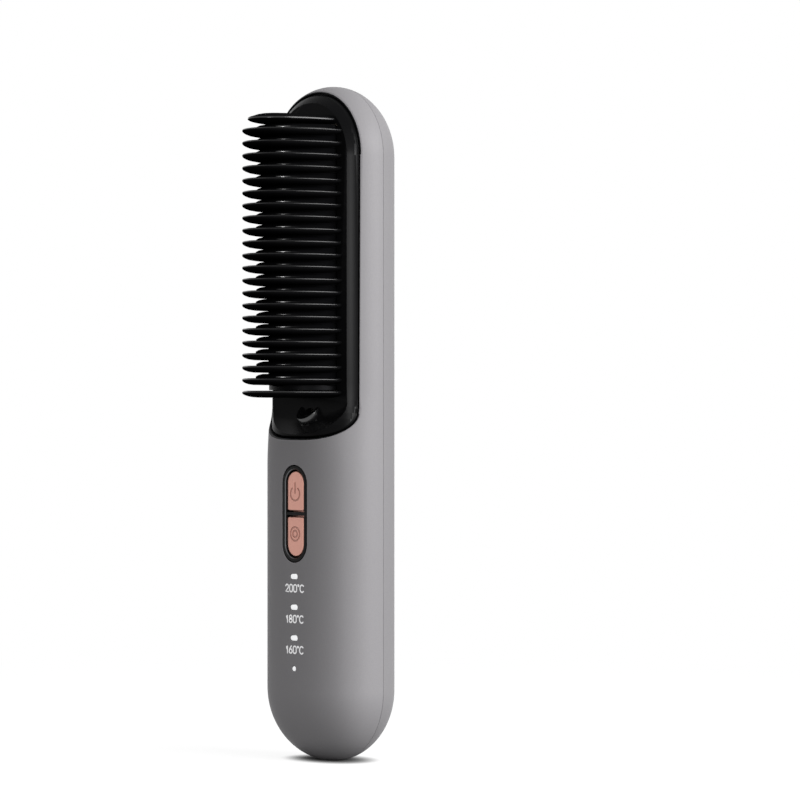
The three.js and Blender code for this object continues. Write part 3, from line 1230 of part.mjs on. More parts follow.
piece('charging_socket', socketShell(), steel);
piece('charging_socket_tongue', socketTongue(), darkPlastic);
piece('charging_board', chargeBoard(), boardGreen);
piece('ion_generator', ionGenerator(), darkPlastic);
piece('ion_emitter', ionEmitter(), whiteLead);

piece('battery_lead_positive', batteryLead(1), redLead);
piece('battery_lead_negative', batteryLead(-1), blackLead);
piece('charging_lead_positive', chargeLead(1), redLead);
piece('charging_lead_negative', chargeLead(-1), blackLead);
piece('heater_lead_1', heaterLead(1), whiteLead);
piece('heater_lead_2', heaterLead(-1), whiteLead);
piece('sensor_lead', sensorLead(), blackLead);
piece('ion_lead', ionLead(), redLead);

REAR_SCREWS.forEach(([x, z], i) => {
  const seat = -surfaceDepth(x, z, false) + REAR_HEAD_SINK;
  piece(`rear_screw_${i + 1}`, screw(x, z, seat, REAR_SHANK_BITE - REAR_BOSS_SPLIT), steel);
});
boardScrewPlaces().forEach(([x, z], i) => {
  const tip = surfaceDepth(x, z, true) - WALL - FIT;
  piece(`board_screw_${i + 1}`, screw(x, z, BOARD_BACK, tip, BOARD_HEAD_RADIUS), steel);
});
carrierScrewPlaces().forEach(([x, z], i) => {
  piece(`carrier_screw_${i + 1}`, screw(x, z, CARRIER_BACK, PLATFORM - CARRIER_SCREW_COVER), steel);
});

export default brush;
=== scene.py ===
"""Cordless hair straightening brush: its lacquered shells, glossy comb, heated fins, buttons and
lamps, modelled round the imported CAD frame. Metres, +Z up the handle, -Y towards the comb."""
import math

import bpy
import bmesh
import numpy as np
from mathutils import Matrix, Vector


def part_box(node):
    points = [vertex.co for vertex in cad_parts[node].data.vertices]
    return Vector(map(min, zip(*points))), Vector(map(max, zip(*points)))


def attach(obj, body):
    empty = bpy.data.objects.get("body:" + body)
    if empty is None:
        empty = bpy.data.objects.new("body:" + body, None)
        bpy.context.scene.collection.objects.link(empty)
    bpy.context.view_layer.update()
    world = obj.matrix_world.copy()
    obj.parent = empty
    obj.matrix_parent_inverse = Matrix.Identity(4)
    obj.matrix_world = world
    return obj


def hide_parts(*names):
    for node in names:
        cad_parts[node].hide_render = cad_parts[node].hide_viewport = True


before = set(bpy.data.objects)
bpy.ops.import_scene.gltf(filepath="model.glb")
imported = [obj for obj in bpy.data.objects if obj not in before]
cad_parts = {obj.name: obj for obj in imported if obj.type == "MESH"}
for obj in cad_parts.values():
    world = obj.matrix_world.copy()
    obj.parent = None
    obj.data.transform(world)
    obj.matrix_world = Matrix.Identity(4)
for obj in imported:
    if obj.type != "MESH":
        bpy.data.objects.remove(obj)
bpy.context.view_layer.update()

bl_info = {
    "name": "Hair straightening brush",
    "version": (1, 0, 0),
    "blender": (4, 5, 0),
    "location": "3D View > Sidebar > Brush",
    "description": "Builds the shells, comb, heater, buttons and stage of a straightening brush",
    "category": "Add Mesh",
}

MM = 0.001
FRONT_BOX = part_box("front_shell")
REAR_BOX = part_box("rear_shell")
COVER_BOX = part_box("comb_cover")
PLATE_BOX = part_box("heater_plate")
BEZEL_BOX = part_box("button_bezel")
SOCKET_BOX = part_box("charging_socket")
# The widest plane of the body, which the charging socket is centred on
AXIS_Y = (SOCKET_BOX[0].y + SOCKET_BOX[1].y) / 2
LAMPS = ("200", "180", "160")
REAR_SCREWS = ["rear_screw_%d" % i for i in range(1, 6)]


# Settings


def length(note, default):
    return bpy.props.FloatProperty(description=note, default=default, unit="LENGTH", precision=5)


def mm(note, default):
    """A length whose default is in millimetres"""
    return length(note, default * MM)


def number(note, default, low=0.0, high=1.0):
    return bpy.props.FloatProperty(description=note, default=default, min=low, max=high)


def colour(note, default):
    return bpy.props.FloatVectorProperty(
        description=note, default=default, size=3, min=0, max=1, subtype="COLOR")


class BodySizes(bpy.types.PropertyGroup):
    """Sizes of the capsule body and its comb window"""

    half_width: length("Widest line of the capsule", FRONT_BOX[1].x)
    full_length: length("Foot to the top of the head", REAR_BOX[1].z)
    front_depth: length("Widest plane to the front face", AXIS_Y - FRONT_BOX[0].y)
    back_depth: length("Widest plane to the back", REAR_BOX[1].y - AXIS_Y)
    foot: mm("Half width of the flat that the brush stands on", 4.5)
    grip_fullness: number("Section exponent of the front at the grip", 2.4, 1.5, 4)
    head_fullness: number("Section exponent of the front at the head", 2.0, 1.5, 4)
    blend: mm("Length over which the front section changes", 26)
    wall: mm("Thickness of both shells", 1.8)
    seam: mm("Parting plane behind the widest plane", 1.0)
    seam_gap: mm("Gap between the two shells", 0.05)
    edge: mm("Rounding along the seam", 0.14)
    window_edge: mm("Rounding of the comb window's edge", 1.0)
    window_side: mm("Half width of the comb window", 20.1)
    window_foot: mm("Height of the window's lower edge", 100.1)
    window_top: mm("Height of the window's upper edge", 207.5)
    corner_rise: mm("Height of the window's rounded foot", 9.4)


class CombSizes(bpy.types.PropertyGroup):
    """Sizes of the comb's tray, blades and hood"""

    drop: mm("Depth of the tray's rim below the body", 1.2)
    gap: mm("Clearance round the tray", 0.45)
    rim_edge: mm("Rounding of the tray's outer edge", 0.7)
    platform: mm("Level that carries the blades", 9.25)
    reach: length("Level of the blade tips", AXIS_Y - COVER_BOX[0].y)
    half_width: mm("Half width of a blade's arch", 14.8)
    rows: bpy.props.IntProperty(description="Rows of blades", default=23, min=3)
    first_row: mm("Height of the lowest blade", 114.6)
    last_row: mm("Height of the highest blade", 198.95)
    barrel_gap: mm("Gap between the blades and the barrel", 0.4)
    top_narrower: mm("Half width lost by the highest plate", 3.1)
    top_shorter: mm("Reach lost by the highest plate", 1.2)
    hood: mm("Radius of the outlet hood", 4.2)
    hood_wall: mm("Wall of the outlet hood", 0.9)
    hood_lip: mm("Extra thickness at the foot of the hood's mouth", 1.0)
    hood_waist: mm("Window's foot to the middle of the hood's round foot", 7.6)


class HeaterSizes(bpy.types.PropertyGroup):
    """Sizes of the heated barrel and its fins"""

    half_width: mm("Half width of the barrel", 12.25)
    rise: mm("Barrel's crest above the platform", 13)
    fin_step: mm("Fin crest above the barrel's crest", 6.3)
    fin_foot: mm("Lower face of a fin above the middle of a row", 0.42)
    flange: mm("Flange beside the barrel", 1.2)
    coat: mm("Thickness of the black coating between the fins", 0.2)
    coat_wave: mm("Rise of the coating's wavy lower edge", 1.1)


class ButtonSizes(bpy.types.PropertyGroup):
    """Sizes of the bezel, caps, lamps and markings"""

    centre: length("Height of the bezel's middle", (BEZEL_BOX[0].z + BEZEL_BOX[1].z) / 2)
    half_width: mm("Half width of the bezel's ring", 5.45)
    half_length: mm("Half length of the bezel's ring", 14.9)
    ring: mm("Width of the bezel's ring", 1.24)
    ring_flat: mm("Width of the ring's flat top", 0.94)
    ring_drop: mm("Ring's top below the front face", 0.25)
    ring_sink: mm("Fall of the ring towards the caps", 0.28)
    hole_gap: mm("Gap between the bezel and the front shell", 0.2)
    hole_edge: mm("Rounding of the front shell round the bezel", 0.3)
    crossbar: mm("Width of the bar between the caps", 1.0)
    cap_gap: mm("Gap round each cap", 0.5)
    proud: mm("Caps above the front face", -0.6)
    symbol: mm("Radius of the symbols on the caps", 2.1)
    stroke: mm("Width of a symbol's line", 0.6)
    symbol_step: mm("Bezel's middle to the middle of each symbol", 6.2)
    lamp_half_width: mm("Half width of a lamp lens", 1.58)
    lamp_half_height: mm("Half height of a lamp lens", 0.81)
    dot: mm("Radius of the charge lamp", 0.78)
    figure_height: mm("Height of the printed figures", 2.35)
    figure_width: mm("Height at which the figures would have their plain width", 2.6)
    figure_shift: mm("Middle of the figures to the right of the lamps", 0.4)
    figure_drop: mm("Lamp to the middle of its figures", 3.6)
    pen: mm("Half width of the figures' lines", 0.22)


class Finishes(bpy.types.PropertyGroup):
    """Colours that a user would change"""

    lacquer: colour("Body lacquer", (0.33, 0.321, 0.333))
    # The rear shell's darker share of the tone is painted shade, for the light falling off round the back
    rear: number("Share of the lacquer's tone on the rear shell", 0.94)
    gloss_black: colour("Blades and tray", (0.0065, 0.0065, 0.007))
    rose: colour("Button caps", (0.655, 0.338, 0.272))
    ink: colour("Printed figures", (0.88, 0.88, 0.89))


class StageSizes(bpy.types.PropertyGroup):
    """Camera, lights and floor; turns are in degrees from the front towards the right"""

    camera_turn: number("Turn of the camera", 48.0, -180, 180)
    camera_distance: length("Camera to the brush's axis", 1.048)
    camera_height: length("Camera above the floor", 0.1121)
    lens: number("Focal length in millimetres", 151.0, 10, 300)
    shift: number("Sideways shift of the picture", 0.085, -1, 1)
    key_power: number("Power of the soft light to the right", 10.6, 0, 200)
    key_turn: number("Turn of the soft light", 104.0, -180, 180)
    key_height: length("Soft light above the floor", 0.44)
    glint_power: number("Power of the small light in front", 1.9, 0, 200)
    glint_turn: number("Turn of the small light", 38.0, -180, 180)
    glint_height: length("Small light above the floor", 0.22)
    world: number("Level of the even light from all round", 0.37, 0, 2)
    floor_tone: number("Share of the light that the camera sees on the floor", 0.25)
    floor_glow: number("White that the camera sees on the floor besides", 0.88)
    floor_bounce: number("Share of the light that the floor sends back to the brush", 0.12)
    contact: length("Reach of the dark line under the foot", 0.007)


# Shader and geometry nodes


class Value:
    """A number that varies over a surface; sums and products of it add Math nodes to its tree"""

    def __init__(self, nodes, socket):
        self.nodes = nodes
        self.socket = socket

    def math(self, operation, *others, swapped=False):
        values = [self.socket] + [o.socket if isinstance(o, Value) else o for o in others]
        if swapped:
            values.reverse()
        return self.nodes.add("ShaderNodeMath", {"operation": operation}, dict(enumerate(values)))

    def __add__(self, other):
        return self.math("ADD", other)

    def __sub__(self, other):
        return self.math("SUBTRACT", other)

    def __rsub__(self, other):
        return self.math("SUBTRACT", other, swapped=True)

    def __mul__(self, other):
        return self.math("MULTIPLY", other)

    __radd__ = __add__
    __rmul__ = __mul__

    def between(self, low, high):
        """0 below low, 1 above high, and smooth between them"""
        return self.nodes.add("ShaderNodeMapRange", {"interpolation_type": "SMOOTHSTEP"},
                               {0: self.socket, 1: low, 2: high, 3: 0.0, 4: 1.0})


class Nodes:
    """A node tree that is put together node by node"""

    def __init__(self, tree):
        self.tree = tree

    def add(self, kind, settings=None, sockets=None, out=0):
        node = self.tree.nodes.new(kind)
        for label, value in (settings or {}).items():
            setattr(node, label, value)
        for label, value in (sockets or {}).items():
            self.join(value, node.inputs[label])
        return Value(self, node.outputs[out]) if node.outputs else None

    def join(self, value, socket):
        if isinstance(value, Value):
            value = value.socket
        if isinstance(value, bpy.types.NodeSocket):
            self.tree.links.new(value, socket)
        else:
            socket.default_value = value


class Copies(Nodes):
    """A tree of geometry nodes with named inputs, which puts copies of a form on points"""

    def __init__(self, name, **kinds):
        super().__init__(bpy.data.node_groups.new(name, "GeometryNodeTree"))
        for label, kind in {"Geometry": "Geometry", **kinds, "Finish": "Material"}.items():
            self.tree.interface.new_socket(label, in_out="INPUT", socket_type="NodeSocket" + kind)
        self.tree.interface.new_socket("Geometry", in_out="OUTPUT", socket_type="NodeSocketGeometry")

    def given(self, label):
        return self.add("NodeGroupInput", out=label)

    def place(self, points, form):
        copies = self.add("GeometryNodeInstanceOnPoints", None, {"Points": points, "Instance": form})
        real = self.add("GeometryNodeRealizeInstances", None, {"Geometry": copies})
        coat = self.add("GeometryNodeSetMaterial", None,
                        {"Geometry": real, "Material": self.given("Finish")})
        self.add("NodeGroupOutput", None, {"Geometry": coat})
        return self.tree


class Finish(Nodes):
    """A Principled material"""

    def __init__(self, name, **constants):
        self.material = bpy.data.materials.new(name)
        self.material.use_nodes = True
        super().__init__(self.material.node_tree)
        self.shader = self.tree.nodes["Principled BSDF"]
        for label, value in constants.items():
            self.shader.inputs[label].default_value = value
        self.spot = self.add("ShaderNodeTexCoord", out="Object")

    def feed(self, label, value):
        self.join(value, self.shader.inputs[label])

    def point(self, stretch=(1, 1, 1)):
        """Object coordinates, stretched to the given scale"""
        return self.add("ShaderNodeMapping", None, {"Vector": self.spot, "Scale": stretch})

    def grain(self, scale, detail=3.0, stretch=(1, 1, 1)):
        return self.add("ShaderNodeTexNoise", None,
                        {"Vector": self.point(stretch), "Scale": scale, "Detail": detail})

    def cells(self, scale):
        return self.add("ShaderNodeTexVoronoi", None, {"Vector": self.point(), "Scale": scale})

    def stored(self, label):
        return self.add("ShaderNodeAttribute", {"attribute_name": label}, out="Fac")

    def blend(self, share, first, second):
        """One colour where share is 0 and another where it is 1"""
        node = self.tree.nodes.new("ShaderNodeMix")
        node.data_type = "RGBA"
        self.join(share, node.inputs["Factor"])
        for value, socket in ((first, node.inputs[6]), (second, node.inputs[7])):
            self.join(value if isinstance(value, Value) else (*value, 1.0), socket)
        return Value(self, node.outputs[2])

    def mottle(self, share, tone, dark, light):
        """A tone times dark where share is 0 and times light where it is 1"""
        return self.blend(share, shade_of(tone, dark), shade_of(tone, light))

    def bump(self, height, distance, strength):
        self.feed("Normal", self.add("ShaderNodeBump", None,
                                     {"Height": height, "Distance": distance, "Strength": strength}))


def shade_of(tone, factor):
    return tuple(min(1.0, channel * factor) for channel in tone)


def lacquer_finish(name, tone):
    """Satin lacquer with a fine metallic fleck; where the paint attribute is 0 the dark plastic shows, as
    painted shade in the gaps and holes
    """
    finish = Finish(name, **{"IOR": 1.5, "Specular IOR Level": 0.08})
    painted = finish.stored("paint")
    fleck = finish.cells(5200).between(0.25, 0.75)
    drift = finish.grain(26, 2.0)
    tint = finish.mottle(fleck * 0.55 + drift * 0.4, tone, 0.94, 1.07)
    # Near black where the paint attribute is 0: bare plastic, and painted shade on the walls of the gaps and
    # holes
    finish.feed("Base Color", finish.blend(painted, (0.012, 0.012, 0.013), tint))
    finish.feed("Metallic", painted * 0.06)
    finish.feed("Roughness", finish.grain(900, 4.0) * 0.07 + drift * 0.05 + 0.42)
    finish.bump(finish.grain(1500, 2.0), 0.004 * MM, 0.5)
    return finish.material


def moulded_finish(name, tone, rough, texture, level, coat_ior):
    """Moulded black plastic with a fine texture, glossier where the polished attribute is 1"""
    finish = Finish(name, **{"IOR": 1.46, "Specular IOR Level": level, "Coat Roughness": rough,
                             "Coat IOR": coat_ior})
    finish.feed("Coat Weight", finish.stored("polished"))
    drift = finish.grain(60)
    finish.feed("Base Color", finish.mottle(drift, tone, 0.8, 1.25))
    finish.feed("Roughness", drift * 0.08 + finish.grain(2200, 2.0) * 0.05 + (rough - 0.06))
    finish.bump(finish.grain(2600), texture * MM, 0.6)
    return finish.material


def metal_finish(name, tone, rough, streaks=(1, 1, 1)):
    """Bare or plated metal with fine streaks along one direction"""
    finish = Finish(name, Metallic=1.0)
    line = finish.grain(700, 4.0, streaks)
    finish.feed("Base Color", finish.mottle(line, tone, 0.95, 1.05))
    finish.feed("Roughness", line * 0.12 + (rough - 0.06))
    finish.bump(line, 0.003 * MM, 0.5)
    return finish.material


def rose_finish(name, tone):
    """Satin anodised rose gold, with darker engraved lines where the engraved attribute is 1"""
    finish = Finish(name)
    brushed = finish.grain(600, 3.0, (3.5, 1, 0.35))
    cut = finish.stored("engraved")
    face = finish.mottle(brushed, tone, 0.93, 1.06)
    finish.feed("Base Color", finish.blend(cut, face, shade_of(tone, 0.8)))
    finish.feed("Metallic", 0.72 - cut * 0.3)
    finish.feed("Roughness", brushed * 0.12 + cut * 0.15 + 0.34)
    finish.bump(brushed, 0.004 * MM, 0.5)
    return finish.material


def bezel_finish(name, tone, metal):
    """Black ring whose slope towards the caps, the bare attribute, is dark metal"""
    finish = Finish(name, **{"Specular IOR Level": 0.1})
    bare = finish.stored("bare")
    drift = finish.grain(300)
    finish.feed("Base Color", finish.blend(bare, tone, finish.mottle(drift, metal, 0.9, 1.0)))
    finish.feed("Metallic", bare)
    finish.feed("Roughness", drift * 0.1 + 0.25)
    finish.bump(finish.grain(2600), 0.002 * MM, 0.6)
    return finish.material


def lens_finish(name):
    """Milky lamp lens that glows a little"""
    finish = Finish(name, **{"IOR": 1.49, "Emission Strength": 0.62})
    cloud = finish.grain(900)
    tone = finish.blend(cloud, (0.82, 0.83, 0.84), (0.93, 0.93, 0.94))
    finish.feed("Base Color", tone)
    finish.feed("Emission Color", tone)
    finish.feed("Roughness", cloud * 0.1 + 0.25)
    return finish.material


def grained_finish(name, tone, rough, metallic=0.0, scale=500, depth=0.01, glow=0.0):
    """A colour with a fine grain, which can glow a little"""
    finish = Finish(name, **{"Metallic": metallic, "Emission Color": (*tone, 1.0),
                             "Emission Strength": glow})
    speck = finish.grain(scale, 4.0)
    finish.feed("Base Color", finish.mottle(speck, tone, 0.85, 1.15))
    finish.feed("Roughness", speck * 0.15 + (rough - 0.07))
    finish.bump(speck, depth * MM, 0.4)
    return finish.material


# Meshes


def piece_of(name, corners, faces):
    mesh = bpy.data.meshes.new(name)
    mesh.from_pydata([tuple(c) for c in corners], [], faces)
    work = bmesh.new()
    work.from_mesh(mesh)
    bmesh.ops.remove_doubles(work, verts=work.verts, dist=1e-7)
    bmesh.ops.recalc_face_normals(work, faces=work.faces)
    work.to_mesh(mesh)
    work.free()
    return placed(name, mesh)


def placed(name, mesh):
    piece = bpy.data.objects.new(name, mesh)
    bpy.context.scene.collection.objects.link(piece)
    return piece


def soften(piece, degrees):
    """Smooth shading, with the edges sharp that bend by more than this"""
    mesh = piece.data
    mesh.polygons.foreach_set("use_smooth", [True] * len(mesh.polygons))
    mesh.set_sharp_from_angle(angle=math.radians(degrees))
    mesh.update()


def skin(name, rings, capped=True):
    """A skin over rings of equally many points, closed at both ends"""
    count, last = len(rings[0]), len(rings) - 1
    faces = []
    for r in range(last):
        for i in range(count):
            j = (i + 1) % count
            faces.append((r * count + i, r * count + j, (r + 1) * count + j, (r + 1) * count + i))
    if capped:
        faces += [tuple(range(count))[::-1], tuple(range(last * count, (last + 1) * count))]
    return piece_of(name, [p for ring in rings for p in ring], faces)


def hoop(name, rings):
    """A skin over rings whose last one meets the first"""
    return skin(name, [*rings, rings[0]], capped=False)


def settle(piece):
    """Applies what the modifiers make and removes them"""
    bpy.context.view_layer.update()
    graph = bpy.context.evaluated_depsgraph_get()
    made = bpy.data.meshes.new_from_object(piece.evaluated_get(graph))
    piece.modifiers.clear()
    old = piece.data
    piece.data = made
    bpy.data.meshes.remove(old)
    return piece


def carve(piece, *tools, operation="DIFFERENCE"):
    """Cuts tools out of a piece, joins them on, or keeps what they share; the tools are used up"""
    for tool in tools:
        step = piece.modifiers.new("carve", "BOOLEAN")
        step.solver = "MANIFOLD"
        step.operation = operation
        step.object = tool
        settle(piece)
        bpy.data.objects.remove(tool)
    return piece


def repeat(piece, tree, **values):
    """Runs a node tree on a piece with the named inputs and keeps the plain mesh"""
    step = piece.modifiers.new("repeat", "NODES")
    step.node_group = tree
    for item in tree.interface.items_tree:
        if item.in_out == "INPUT" and item.name in values:
            step[item.identifier] = values[item.name]
    return settle(piece)


def block(name, low, high):
    (a, b, c), (d, e, f) = low, high
    return skin(name, [[(a, b, z), (d, b, z), (d, e, z), (a, e, z)] for z in (c, f)])


def joined(name, pieces):
    """One piece from several"""
    work = bmesh.new()
    for piece in pieces:
        work.from_mesh(piece.data)
    mesh = bpy.data.meshes.new(name)
    work.to_mesh(mesh)
    work.free()
    for piece in pieces:
        bpy.data.objects.remove(piece)
    return placed(name, mesh)


def paint_faces(piece, label, test):
    """Stores on each face what a test makes of the faces' middles"""
    mesh = piece.data
    middles = np.empty(len(mesh.polygons) * 3)
    mesh.polygons.foreach_get("center", middles)
    attribute = mesh.attributes.get(label) or mesh.attributes.new(label, "FLOAT", "FACE")
    attribute.data.foreach_set("value", test(middles.reshape(-1, 3)).astype(np.float32))
    return piece


def finish_piece(piece, material, replaces=(), body="brush", degrees=32):
    """Gives a piece its looks and ties it to the frame; 0 degrees leaves its shading as it is"""
    if degrees:
        soften(piece, degrees)
    piece.data.materials.clear()
    piece.data.materials.append(material)
    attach(piece, body)
    if replaces:
        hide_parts(*replaces)


# Outlines in X and Z, and what lies at them


def circle(radius, centre, steps=28):
    turns = [2 * math.pi * i / steps for i in range(steps)]
    return [(centre[0] + radius * math.cos(turn), centre[1] + radius * math.sin(turn)) for turn in turns]


def stadium(half_width, half_length, centre, steps=14):
    straight = max(half_length - half_width, 0)
    points = []
    for upper, start in ((1, 0), (-1, math.pi)):
        for i in range(steps + 1):
            turn = math.pi * i / steps + start
            rise = centre + upper * straight + half_width * math.sin(turn)
            points.append((half_width * math.cos(turn), rise))
    return points


def pill(half_width, half_height, centre):
    return [(z, centre - x) for x, z in stadium(half_height, half_width, 0, 8)]


def arc(centre, radius, start, end, steps):
    """Points round part of an ellipse with these radii; the angles are in degrees"""
    return [(centre[0] + radius[0] * math.cos(a), centre[1] + radius[1] * math.sin(a))
            for a in np.radians(np.linspace(start, end, steps))]


def directions(before, after):
    """Unit vectors from one row of points to another"""
    along = after - before
    return along / np.maximum(np.linalg.norm(along, axis=1, keepdims=True), 1e-12)


def grown(outline, amount):
    """The outline moved outwards along its own normals; it runs anticlockwise"""
    points = np.array(outline)
    along = directions(np.roll(points, 1, 0), np.roll(points, -1, 0))
    return points + amount * np.column_stack((along[:, 1], -along[:, 0]))


def laid(outline, level):
    """An outline as a ring; level, of the whole or of each point, counts forwards from the widest plane"""
    outline = np.asarray(outline)
    return np.column_stack((outline[:, 0], AXIS_Y - level * np.ones(len(outline)), outline[:, 1]))


def metres(table, shift=0.0):
    """Pairs of millimetres as pairs of metres, with the second of each shifted"""
    return [(first * MM, shift + second * MM) for first, second in table]


def turned(name, x, z, profile, steps=32):
    """A turned form along Y, from pairs of radius and frame Y"""
    return skin(name, [[(across, y, up) for across, up in circle(radius, (x, z), steps)]
                       for radius, y in profile])


def smooth_step(value, low, high):
    share = np.clip((value - low) / (high - low), 0, 1)
    return share * share * (3 - 2 * share)


BACK_FULLNESS = 2.0
# The foot's rounded edge: millimetres above the floor, and in from the dome
FOOT_EDGE = ((0.0, 0.75), (0.05, 0.38), (0.2, 0.1))
# Where the head's dome ends, just short of its top
HEAD_TURN = math.pi / 2 * 0.9965
# A cutter's rounded edge ends at this turn, and the cutter this far above the surface
CUTTER_TURN, CUTTER_OVER = math.radians(74), 3 * MM
# Points this near count as lying on a surface, and normals this close to its own are replaced by it
ON_SURFACE, ALIGNED = 0.02 * MM, 0.985
# Faces deeper than this in the shells aren't lacquered: their dark plastic is painted shade in the gaps and
# holes
LACQUER_AND_SHADE_REACH = 0.16 * MM
# How square the window's foot is
FOOT_POWER = 2 / 2.9


class Capsule:
    """The body's outer form: superellipse sections between two domes"""

    def __init__(self, sizes):
        self.half_width = sizes.half_width
        self.front = sizes.front_depth
        self.back = sizes.back_depth
        self.low = math.sqrt(sizes.half_width ** 2 - sizes.foot ** 2)
        self.high = sizes.full_length - sizes.half_width
        self.fullness = (sizes.grip_fullness, sizes.head_fullness)
        self.blend_from = sizes.window_foot - sizes.blend / 3
        self.blend = sizes.blend

    def section(self, z):
        """Share of the full width and depth at a height, and the front's exponent there"""
        z = np.asarray(z, float)
        reach = np.where(z > self.high, z - self.high, np.maximum(self.low - z, 0)) / self.half_width
        share = np.sqrt(np.clip(1 - reach ** 2, 1e-8, 1))
        grip, head = self.fullness
        return share, grip + (head - grip) * smooth_step(z, self.blend_from, self.blend_from + self.blend)

    def depth(self, x, z, front=True):
        """How far the surface lies from the widest plane"""
        share, exponent = self.section(z)
        exponent = exponent if front else BACK_FULLNESS
        full = (self.front if front else self.back) * share
        inside = 1 - np.abs(np.asarray(x) / (self.half_width * share)) ** exponent
        return full * np.clip(inside, 0, 1) ** (1 / exponent)

    def field(self, points):
        """Zero on the surface, growing outwards"""
        x, y, z = points.T
        share, exponent = self.section(z)
        y = y - AXIS_Y
        exponent = np.where(y < 0, exponent, BACK_FULLNESS)
        full = np.where(y < 0, self.front, self.back) * share
        return np.abs(x / (self.half_width * share)) ** exponent + np.abs(y / full) ** exponent - 1

    def slope(self, points):
        """The field's gradient, and its length"""
        step = 2e-6
        slope = np.column_stack([
            (self.field(points + step * axis) - self.field(points - step * axis)) / (2 * step)
            for axis in np.eye(3)])
        return slope, np.maximum(np.linalg.norm(slope, axis=1), 1e-9)

    def off_surface(self, points):
        """Distance of points from the surface, negative inside"""
        return self.field(points) / self.slope(points)[1]

    def rings(self, inset=0.0, sides=192, drop=0.0):
        """Sections from the foot to the top of the head, inset by a wall or moved back by a drop"""
        radius = self.half_width - inset
        floor_turn = math.asin((self.low - inset) / radius)
        places = [] if inset else [(z * MM, float(self.section(z * MM)[0]) - draw * MM / self.half_width)
                                   for z, draw in FOOT_EDGE]
        for turn in [floor_turn * (1 - (step / 24) ** 0.9) for step in range(1 if places else 0, 25)]:
            places.append((self.low - radius * math.sin(turn), math.cos(turn)))
        places += [(self.blend_from + self.blend * step / 14, 1.0) for step in range(15)]
        for turn in [HEAD_TURN * step / 30 for step in range(31)]:
            places.append((self.high + radius * math.sin(turn), math.cos(turn)))
        angles = 2 * np.pi * np.arange(sides) / sides
        across, back = np.cos(angles), np.sin(angles)
        depth = np.where(back < 0, self.front, self.back) - inset
        made = []
        for z, share in places:
            exponent = np.where(back < 0, 2 / float(self.section(z)[1]), 2 / BACK_FULLNESS)
            x = radius * share * np.sign(across) * np.abs(across) ** exponent
            y = depth * share * np.sign(back) * np.abs(back) ** exponent
            made.append(np.column_stack((x, y + AXIS_Y + drop, np.full(sides, z))))
        return made

    def silhouette(self, grow):
        """The outline at the widest plane"""
        radius = self.half_width + grow
        turn = math.asin(min(1.0, (self.low + grow) / radius))
        arcs = ((self.high, 0, math.pi, 64), (self.low, math.pi, math.pi + turn, 32),
                (self.low, 2 * math.pi - turn, 2 * math.pi, 32))
        return [(radius * math.cos(a), middle + radius * math.sin(a))
                for middle, start, end, steps in arcs for a in np.linspace(start, end, steps)]

    def cutter(self, name, outline, start, edge, front=True):
        """A tool that cuts an outline through the front or the back and leaves a rounded edge there"""
        side = -1 if front else 1
        rings = [laid(outline, -side * start)]
        for a in np.linspace(0, CUTTER_TURN, 5):
            at = grown(outline, edge * (1 - math.cos(a)))
            level = self.depth(at[:, 0], at[:, 1], front) - edge * (1 - math.sin(a))
            rings.append(laid(at, -side * level))
        full = self.front if front else self.back
        rings.append(laid(grown(outline, edge), -side * (full + CUTTER_OVER)))
        return skin(name, rings)

    def lacquered(self, shell):
        """Gives a shell's outside the capsule's exact normals and marks it as lacquered; the deeper faces
        stay dark, as painted shade in the gaps and holes
        """
        mesh = shell.data
        soften(shell, 32)
        corners = np.empty(len(mesh.vertices) * 3)
        mesh.vertices.foreach_get("co", corners)
        corners = corners.reshape(-1, 3)
        slope, steepness = self.slope(corners)
        slope /= steepness[:, None]
        near = np.abs(self.off_surface(corners)) < ON_SURFACE
        loops = np.empty(len(mesh.loops) * 3, np.float32)
        mesh.corner_normals.foreach_get("vector", loops)
        loops = loops.reshape(-1, 3)
        of_corner = np.empty(len(mesh.loops), np.int32)
        mesh.loops.foreach_get("vertex_index", of_corner)
        facing = np.einsum("ij,ij->i", loops, slope[of_corner])
        swap = near[of_corner] & (facing > ALIGNED)
        loops[swap] = slope[of_corner][swap]
        mesh.normals_split_custom_set([tuple(n) for n in loops])
        return paint_faces(shell, "paint", lambda middles: self.off_surface(middles) > -LACQUER_AND_SHADE_REACH)


def window_outline(sizes, inset, steps=40):
    half_width = sizes.window_side - inset
    centre = sizes.window_top - sizes.window_side
    top = [(half_width * math.cos(a), centre + half_width * math.sin(a))
           for a in np.linspace(0, math.pi, steps)]
    foot = sizes.window_foot + sizes.corner_rise
    return top + rounded_foot(half_width, foot, sizes.corner_rise - inset, steps)


def rounded_foot(half_width, top, rise, steps):
    """The lower edge of the window or of its recess, from left to right"""
    return [(half_width * np.sign(math.cos(a)) * abs(math.cos(a)) ** FOOT_POWER,
             top - rise * abs(math.sin(a)) ** FOOT_POWER) for a in np.linspace(math.pi, 2 * math.pi, steps)]


def lamps_of(buttons):
    """Each lamp's CAD node, its piece's name, its height and its outline as a function of growth"""
    def pill_at(z):
        return lambda grow: pill(buttons.lamp_half_width + grow, buttons.lamp_half_height + grow, z)

    lamps = []
    for lamp in LAMPS:
        z = middle_height("lamp_lens_" + lamp)
        lamps.append(("lamp_lens_" + lamp, "lamp_pill_" + lamp, z, pill_at(z)))
    z = middle_height("charge_lamp_lens")
    lamps.append(("charge_lamp_lens", "charge_dot", z, lambda grow: circle(buttons.dot + grow, (0, z))))
    return lamps


def middle_height(node):
    low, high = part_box(node)
    return (low.z + high.z) / 2


# Shells: where their cutters start in front of the widest plane, and the gap and rounding at the lamps
WINDOW_START, HOLE_START, LAMP_GAP, LAMP_EDGE = 4.7 * MM, 9 * MM, 0.16 * MM, 0.1 * MM
# Where the seam's rounded edge starts and ends
SEAM_TURNS = (math.radians(18), math.radians(84))
